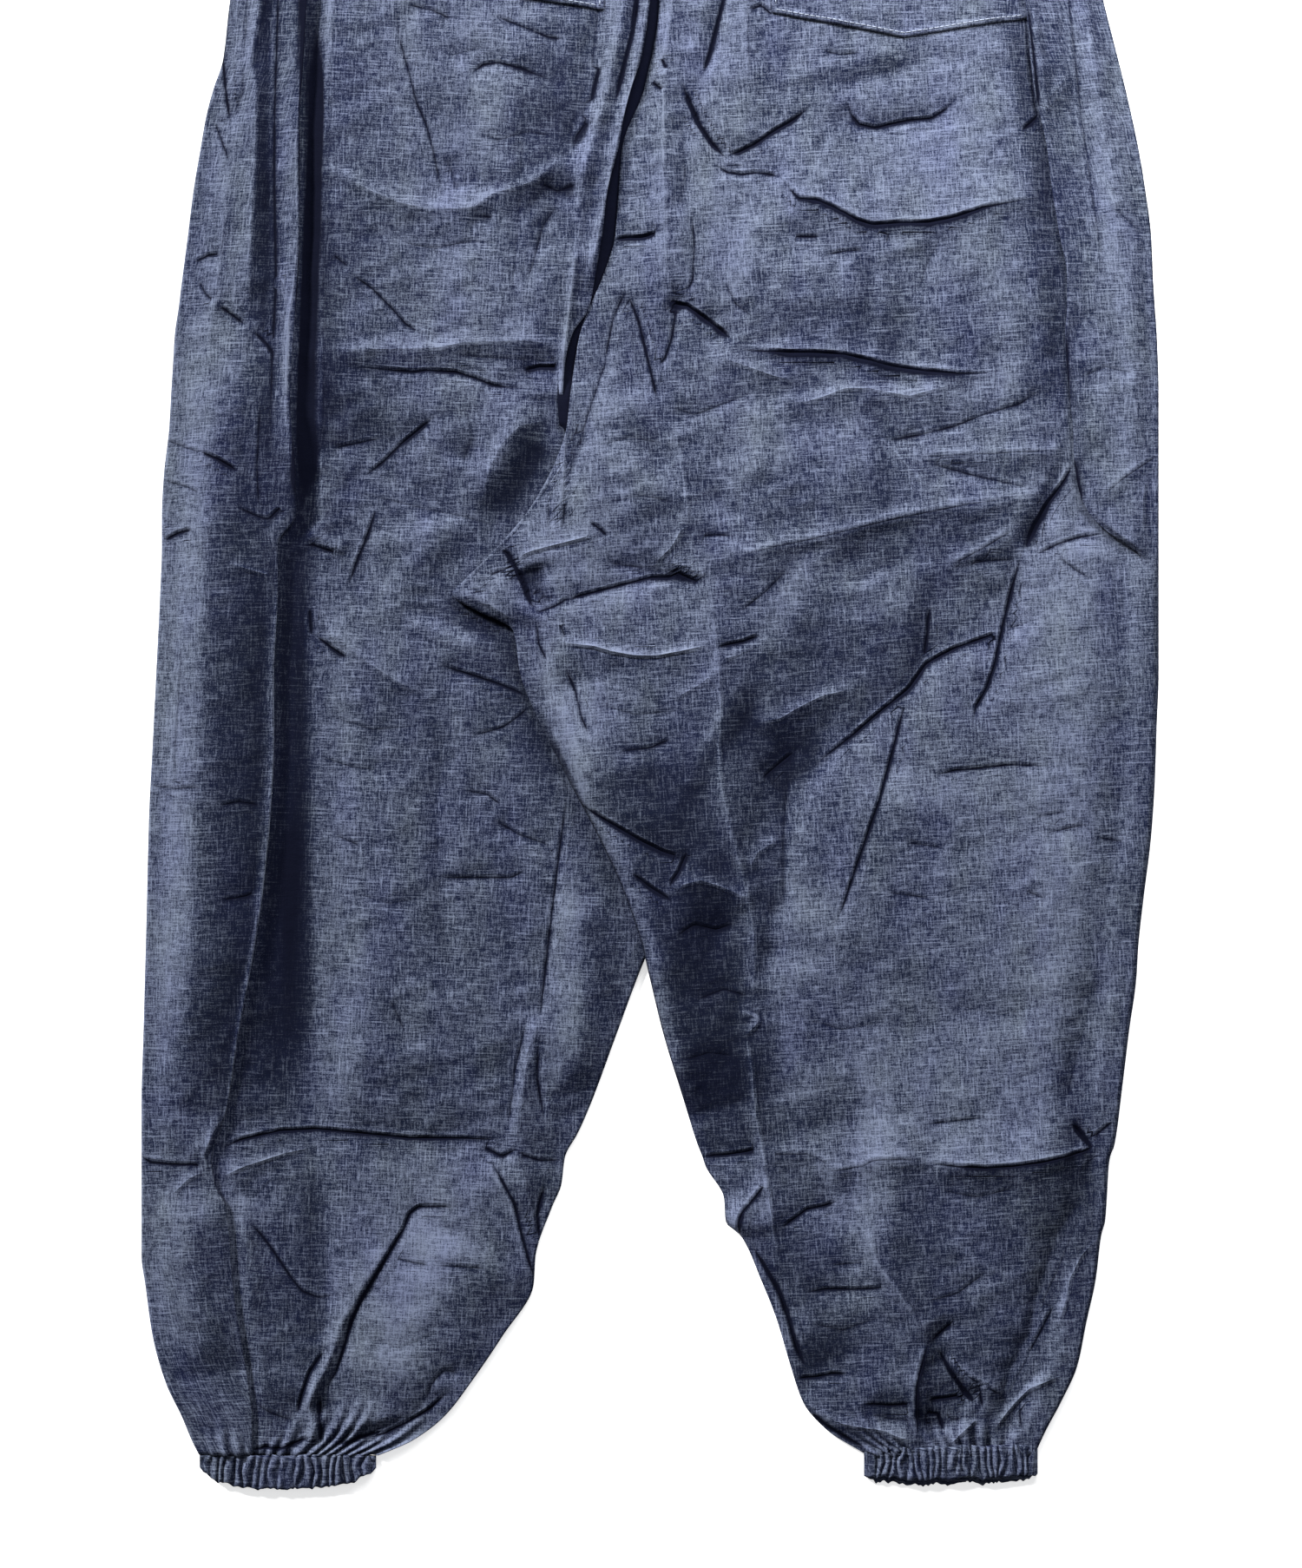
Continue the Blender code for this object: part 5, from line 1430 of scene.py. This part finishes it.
def make_right_back(cloth, wall):
    """The right back panel with its flap, from the centre seam to a little beyond the side seam."""

    def place(u, v):
        y = level_of(v)
        right = RIGHT_SEAM(y) + (BACK_TUCK + 0.2 - 0.2 * ramp(y, 2, 32))
        x = RIGHT_INNER(y) + (right - RIGHT_INNER(y)) * u
        return x, y, right_back_height(x, y)

    folds = Folds(RIGHT_BACK_CREASES, RIGHT_BACK_SWELLS + RIGHT_LEG_SWELLS, RIGHT_BACK_PAINTED_SHADING)
    grain = Grain(turn=-0.05, shift=0.37)
    return make_sheet("right_back_panel", place, cloth, wall, columns=116, rows=404, folds=folds, grain=grain)


class FrontPanel(NamedTuple):
    """A front panel: the way to its outer edge, its edges, its strip on top, its lift and its folds."""

    name: str
    way: int
    inner: Callable
    outer: Callable
    seam: Callable
    strip_height: Callable
    lift: Callable
    folds: Folds
    seed: int


def no_lift(x, y):
    """The left front panel lies on the floor."""
    return 0.0 * x


def right_front_inner(y):
    """Below the crossing the leg's own inner edge, and above it the middle, a little over the left panel."""
    return np.where(y < LEGS_CROSS, RIGHT_INNER(y), LEFT_INNER(y) - 3)


def right_front_lift(x, y):
    """How far the right front panel lifts: over the left leg, and over the left panel's edge at the middle."""
    over_seam = ramp(y, LEGS_CROSS - 8, LEGS_CROSS) * (1 - ramp(x - LEFT_INNER(y), 1, 4))
    return crossing_lift(x, y) + over_seam


LEFT_FRONT = FrontPanel(
    "left_front_panel", -1, LEFT_INNER, LEFT_OUTER, LEFT_SEAM, left_strip_height, no_lift,
    Folds(LEFT_STRIP_CREASES, LEFT_LEG_SWELLS, LEFT_STRIP_PAINTED_SHADING), 61,
)
RIGHT_FRONT = FrontPanel(
    "right_front_panel", 1, right_front_inner, RIGHT_OUTER, RIGHT_SEAM, right_strip_height, right_front_lift,
    Folds(RIGHT_STRIP_CREASES, RIGHT_LEG_SWELLS, RIGHT_STRIP_PAINTED_SHADING), 67,
)


def make_front(panel, cloth, wall):
    """A front panel: under the leg, rolled round its outer edge, and back over the top as far as the seam."""
    flat_end, roll_end, grain_line = 0.42, 0.5, 0.46
    middle, radius = (EDGE_TOP + wall / 2) / 2, (EDGE_TOP - wall / 2) / 2

    def place(u, v):
        y = level_of(v)
        inner, seam = panel.inner(y), panel.seam(y)
        turn = panel.outer(y) - panel.way * EDGE_ROLL

        x_flat = inner + (turn - inner) * u / flat_end
        under = crease_height(UNDER_CREASES, x_flat, y) + 0.5 * np.abs(crumple(x_flat, y, panel.seed))
        away = smooth_step((x_flat - turn) * -panel.way / UNDER_RUN)
        z_flat = wall / 2 + UNDER_RELIEF * under * away + CARRIED * panel.lift(x_flat, y)

        angle = np.pi * np.clip((u - flat_end) / (roll_end - flat_end), 0, 1)
        x_roll = turn + panel.way * EDGE_ROLL * np.sin(angle)
        z_roll = middle - radius * np.cos(angle)

        part = np.clip((u - roll_end) / (1 - roll_end), 0, 1)
        x_top = turn + (seam - turn) * part
        risen = smooth_step(part * np.abs(seam - turn) / EDGE_TOP_RUN)
        z_top = EDGE_TOP + (panel.strip_height(x_top, y) - EDGE_TOP) * risen

        x = np.where(u <= flat_end, x_flat, np.where(u < roll_end, x_roll, x_top))
        z = np.where(u <= flat_end, z_flat, np.where(u < roll_end, z_roll, z_top))
        return x, y, z

    grain = Grain(turn=0.02 * panel.way, shift=0.01 * panel.seed, anchor=grain_line)
    return make_sheet(panel.name, place, cloth, wall, columns=100, rows=400, folds=panel.folds, grain=grain)


def pocket_edge(pocket, share):
    """y of a pocket's bottom edge at a share of its width."""
    first = pocket.left_corner + (pocket.point - pocket.left_corner) * 2 * share
    second = pocket.point + (pocket.right_corner - pocket.point) * (2 * share - 1)
    return np.where(share < 0.5, first, second)


def on_pocket(pocket, height, share, down):
    """A point of a pocket, from its mouth to its bottom edge, a little above the panel.

    Its edge is a soft ridge, with the groove of the stitches beside it.
    """
    y = POCKET_TOP + (pocket_edge(pocket, share) - POCKET_TOP) * down
    fall = (POCKET_TOP - y) / (POCKET_TOP - pocket.point)
    left = pocket.mouth_left + (pocket.left - pocket.mouth_left) * fall
    right = pocket.mouth_right + (pocket.right - pocket.mouth_right) * fall
    x = left + (right - left) * share
    from_edge = np.minimum(np.minimum(share, 1 - share) * (right - left), (1 - down) * POCKET_DEPTH)
    ridge = 0.35 * bell(from_edge, 1.2, 1.6) - 0.25 * bell(from_edge, 4.4, 1.1)
    return x, y, height(x, y) + POCKET_OFFSET + ridge


def make_pocket(name, pocket, height, painted_shading, cloth, wall, shift):
    """A patch pocket on a back panel, whose height it follows."""

    def place(u, v):
        return on_pocket(pocket, height, u, v)

    folds, grain = Folds(painted_shading=painted_shading), Grain(shift=shift)
    return make_sheet(name, place, cloth, wall, columns=90, rows=96, folds=folds, grain=grain)


def pocket_stitch_routes(pocket, height, wall):
    """The lines of edge stitching: down one side, along the pointed bottom and up the other side."""
    side = STITCH_INSET / (pocket.right - pocket.left)
    above = 1 - STITCH_INSET / POCKET_DEPTH
    first, side_points, bottom_points = 0.02, 160, 200
    down = np.linspace(first, above, side_points)
    share = np.linspace(side, 1 - side, bottom_points)
    lines = (
        (np.full_like(down, side), down),
        (share, np.full_like(share, above)),
        (np.full_like(down, 1 - side), down[::-1]),
    )
    for shares, downs in lines:
        x, y, z = on_pocket(pocket, height, shares, downs)
        yield np.stack([x, y, z + wall / 2 + STITCH_LIFT], 1)


def make_stitches(name, routes, pitch, thread):
    """Rows of stitches: small rounded threads, each lying along its route, joined in one mesh."""
    shape = bmesh.new()
    for points in routes:
        steps = np.linalg.norm(np.diff(points, axis=0), axis=1)
        travelled = np.concatenate([[0], np.cumsum(steps)])
        for at in np.arange(pitch / 2, travelled[-1] - pitch / 2, pitch):
            start, end = (
                Vector([np.interp(at + offset, travelled, points[:, axis]) for axis in range(3)])
                for offset in (-STITCH_LENGTH / 2, STITCH_LENGTH / 2)
            )
            made = bmesh.ops.create_cone(
                shape, cap_ends=True, segments=6, depth=STITCH_LENGTH * MM,
                radius1=STITCH_RADIUS * MM, radius2=STITCH_RADIUS * MM * STITCH_TAPER,
            )
            turn = (end - start).normalized().to_track_quat("Z", "X").to_matrix().to_4x4()
            turn.translation = (start + end) / 2 * MM
            bmesh.ops.transform(shape, matrix=turn, verts=made["verts"])
    bmesh.ops.recalc_face_normals(shape, faces=shape.faces)
    mesh = bpy.data.meshes.new(name)
    shape.to_mesh(mesh)
    shape.free()
    return new_piece(name, mesh, thread)


def make_ring(name, ring, cloth, wall, seed):
    """A flattened elastic band, gathered all round, with waves as uneven as elastic makes them."""
    half = (ring.right - ring.left) / 2
    middle = (ring.right + ring.left) / 2

    def place(u, v):
        angle = 2 * np.pi * u
        across = np.cos(angle)
        flat = np.sign(across) * np.abs(across) ** 0.72
        upper = np.sin(angle) > 0
        x = middle + half * flat

        swing = soft_noise(x, v * 10, 5, seed) * 2.0 + (v - 0.4) * soft_noise(x, v * 4, 9, seed + 1) * 4.0
        wave = 0.5 + 0.5 * np.cos(2 * np.pi * (x + swing) * ring.gathers / (2 * half))
        sharp = wave ** 0.7 * (0.75 + 0.35 * soft_noise(x, v * 8, 4, seed + 2))
        band = smooth_step(v / 0.12) * smooth_step((1 - v) / 0.10)
        thick = np.abs(np.sin(angle)) ** 0.5
        top = ring.layer_gap * thick + ring.gather_height * sharp * (0.55 + 0.45 * band) * thick
        under = UNDER_LAYER - UNDER_LAYER * thick + 0.15 * sharp * thick
        z = wall / 2 + np.where(upper, UNDER_LAYER + top, under)

        longer = ring.lower_layer_longer * smooth_step((1 - np.abs(flat)) * 6)
        bottom = ring.bottom + ring.corner_rise * np.abs(flat) ** 4 - np.where(upper, 0.0, longer)
        bottom = bottom + 0.9 * wave + 0.7 * noise_along(x, 3, seed + 4)
        y = ring.top + 0.9 * noise_along(x, 6, seed + 3) + (bottom - ring.top) * v
        return x, y, z

    grain = Grain(shift=0.05 * seed, anchor=0.0)
    return make_sheet(name, place, cloth, wall, columns=ring.columns, rows=18, grain=grain, ring=True)


class PantsSizes(bpy.types.PropertyGroup):
    """Sizes that a user may change."""

    wall: bpy.props.FloatProperty(
        name="Cloth", description="Thickness of the chambray", unit="LENGTH",
        default=0.5 * MM, min=0.2 * MM, max=1.0 * MM,
    )
    stitch_pitch: bpy.props.FloatProperty(
        name="Stitch", description="Length from stitch to stitch", unit="LENGTH", default=3.1 * MM
    )
    camera_height: bpy.props.FloatProperty(
        name="Camera Height", description="Height of the camera over the floor", unit="LENGTH", default=1.7
    )


class PantsColours(bpy.types.PropertyGroup):
    """Colours that a user may change."""

    indigo: bpy.props.FloatVectorProperty(
        name="Indigo Yarn", description="The dark yarn",
        subtype="COLOR", size=3, default=(0.0050, 0.0075, 0.0270),
    )
    grey_indigo: bpy.props.FloatVectorProperty(
        name="Worn Indigo Yarn", description="The dark yarn, greyer",
        subtype="COLOR", size=3, default=(0.0070, 0.0105, 0.0230),
    )
    white_yarn: bpy.props.FloatVectorProperty(
        name="White Yarn", description="The pale yarn",
        subtype="COLOR", size=3, default=(0.125, 0.147, 0.192),
    )
    blue_yarn: bpy.props.FloatVectorProperty(
        name="Stained Yarn", description="The pale yarn, bluer",
        subtype="COLOR", size=3, default=(0.108, 0.125, 0.200),
    )
    # Painted shade: the colour that hollows, crease lines and gaps are mixed toward.
    shade: bpy.props.FloatVectorProperty(
        name="Hollows", description="Cloth deep in a fold",
        subtype="COLOR", size=3, default=(0.0014, 0.0021, 0.0080),
    )
    thread: bpy.props.FloatVectorProperty(
        name="Sewing Thread", description="The topstitching",
        subtype="COLOR", size=3, default=(0.32, 0.36, 0.46),
    )
    floor: bpy.props.FloatVectorProperty(
        name="Floor", description="The pale floor",
        subtype="COLOR", size=3, default=(0.9, 0.9, 0.9),
    )


def finish_piece(piece, nodes=()):
    """Lets a piece ride on the garment's body, in place of its nodes."""
    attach(piece, BODY)
    if nodes:
        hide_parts(*nodes)


class PANTS_OT_front_panels(bpy.types.Operator):
    """Make the two front panels, which lie underneath and wrap round the outer edges"""

    bl_idname = "pants.front_panels"
    bl_label = "Front Panels"

    def execute(self, context):
        cloth = chambray("front_chambray", context.scene.pants_colours)
        wall = context.scene.pants_sizes.wall / MM
        for panel, node in ((LEFT_FRONT, "front_left"), (RIGHT_FRONT, "front_right")):
            piece = make_front(panel, cloth, wall)
            finish_piece(piece, [node])
        return {"FINISHED"}


class PANTS_OT_back_panels(bpy.types.Operator):
    """Make the two back panels, with the drop crotch of the right one over the left leg"""

    bl_idname = "pants.back_panels"
    bl_label = "Back Panels"

    def execute(self, context):
        cloth = chambray("back_chambray", context.scene.pants_colours)
        wall = context.scene.pants_sizes.wall / MM
        left = make_left_back(cloth, wall)
        finish_piece(left, ["back_left"])
        right = make_right_back(cloth, wall)
        finish_piece(right, ["back_right"])
        return {"FINISHED"}


class PANTS_OT_pockets(bpy.types.Operator):
    """Make the patch pockets and their edge stitching"""

    bl_idname = "pants.pockets"
    bl_label = "Pockets"

    def execute(self, context):
        colours = context.scene.pants_colours
        sizes = context.scene.pants_sizes
        wall = sizes.wall / MM
        cloth = chambray("pocket_chambray", colours)
        routes = []
        sides = (
            ("left_pocket", POCKET_LEFT, left_back_height, LEFT_BACK_PAINTED_SHADING, 0.21),
            ("right_pocket", POCKET_RIGHT, right_back_height, RIGHT_BACK_PAINTED_SHADING, 0.53),
        )
        places = (("pocket_left", "left_back_panel"), ("pocket_right", "right_back_panel"))
        for (name, pocket, height, painted_shading, shift), (node, panel) in zip(sides, places):
            piece = make_pocket(name, pocket, height, painted_shading, cloth, wall, shift)
            finish_piece(piece, [node])
            routes += pocket_stitch_routes(pocket, height, wall)
        thread = thread_material("topstitch_thread", colours.thread)
        stitches = make_stitches("pocket_stitches", routes, sizes.stitch_pitch / MM, thread)
        finish_piece(stitches)
        return {"FINISHED"}


class PANTS_OT_bands(bpy.types.Operator):
    """Make the elastic waistband and the gathered cuffs"""

    bl_idname = "pants.bands"
    bl_label = "Waistband and Cuffs"

    def execute(self, context):
        cloth = chambray("band_chambray", context.scene.pants_colours, depth=0.05)
        wall = context.scene.pants_sizes.wall / MM
        bands = (
            ("elastic_waistband", WAISTBAND, "waistband", (1.15, 0.04), 0.036, 5),
            ("left_elastic_cuff", CUFF_LEFT, "cuff_left", (0.28, 0.019), 0.0048, 9),
            ("right_elastic_cuff", CUFF_RIGHT, "cuff_right", (0.28, 0.019), 0.0048, 14),
        )
        for name, ring, node, flat, area, seed in bands:
            piece = make_ring(name, ring, cloth, wall, seed)
            finish_piece(piece, [node])
        return {"FINISHED"}


def add_to_scene(name, data, location, aim=None):
    """A light or camera at its place, turned to its aim if it has one and else straight down."""
    thing = bpy.data.objects.new(name, data)
    thing.location = location
    if aim is not None:
        thing.rotation_euler = (thing.location - Vector(aim)).to_track_quat("Z", "Y").to_euler()
    bpy.context.scene.collection.objects.link(thing)
    return thing


class PANTS_OT_stage(bpy.types.Operator):
    """Lay the pale floor, and set the soft light and the camera straight above"""

    bl_idname = "pants.stage"
    bl_label = "Floor, Light and Camera"

    def execute(self, context):
        scene = context.scene
        self.lay_floor(scene)
        self.set_light(scene)
        self.set_camera(scene)
        return {"FINISHED"}

    def lay_floor(self, scene):
        shape = bmesh.new()
        bmesh.ops.create_grid(shape, x_segments=1, y_segments=1, size=FLOOR_HALF)
        mesh = bpy.data.meshes.new("floor")
        shape.to_mesh(mesh)
        shape.free()
        mesh.materials.append(floor_material("pale_floor", scene.pants_colours.floor))
        floor = bpy.data.objects.new("floor", mesh)
        scene.collection.objects.link(floor)

    def set_light(self, scene):
        world = bpy.data.worlds.new("studio")
        world.use_nodes = True
        sky = world.node_tree.nodes["Background"]
        sky.inputs["Color"].default_value = SKY_COLOUR
        sky.inputs["Strength"].default_value = SKY_STRENGTH
        scene.world = world
        key = bpy.data.lights.new("key", "SUN")
        key.energy = KEY_STRENGTH
        key.angle = KEY_ANGLE
        add_to_scene("key", key, KEY_FROM, (0.0, 0.0, 0.0))
        window = bpy.data.lights.new("window", "AREA")
        window.shape = "RECTANGLE"
        window.size, window.size_y = WINDOW_SIZE
        window.energy = WINDOW_POWER
        add_to_scene("window", window, WINDOW_FROM, WINDOW_AIM)

    def set_camera(self, scene):
        height = scene.pants_sizes.camera_height
        lens = bpy.data.cameras.new("above")
        lens.sensor_fit = "VERTICAL"
        lens.sensor_height = SENSOR
        lens.lens = SENSOR * height / FRAME_HEIGHT
        scene.camera = add_to_scene("above", lens, (*FRAME_MIDDLE, height))
        scene.view_settings.view_transform = "Standard"


class PANTS_PT_sidebar(bpy.types.Panel):
    """Lists the sizes, the colours and the steps in the 3D view's sidebar"""

    bl_idname = "PANTS_PT_sidebar"
    bl_label = "Balloon Pants"
    bl_space_type = "VIEW_3D"
    bl_region_type = "UI"
    bl_category = "Balloon Pants"

    def draw(self, context):
        for group in (context.scene.pants_sizes, context.scene.pants_colours):
            for name in group.__annotations__:
                self.layout.prop(group, name)
        for step in STEPS:
            self.layout.operator(step.bl_idname)


STEPS = (
    PANTS_OT_front_panels,
    PANTS_OT_back_panels,
    PANTS_OT_pockets,
    PANTS_OT_bands,
    PANTS_OT_stage,
)
CLASSES = (PantsSizes, PantsColours, *STEPS, PANTS_PT_sidebar)


def register():
    for kind in CLASSES:
        bpy.utils.register_class(kind)
    bpy.types.Scene.pants_sizes = bpy.props.PointerProperty(type=PantsSizes)
    bpy.types.Scene.pants_colours = bpy.props.PointerProperty(type=PantsColours)


def unregister():
    del bpy.types.Scene.pants_colours
    del bpy.types.Scene.pants_sizes
    for kind in reversed(CLASSES):
        bpy.utils.unregister_class(kind)


def main():
    register()
    bpy.ops.pants.stage()
    bpy.ops.pants.front_panels()
    bpy.ops.pants.back_panels()
    bpy.ops.pants.pockets()
    bpy.ops.pants.bands()


if __name__ == "__main__":
    main()
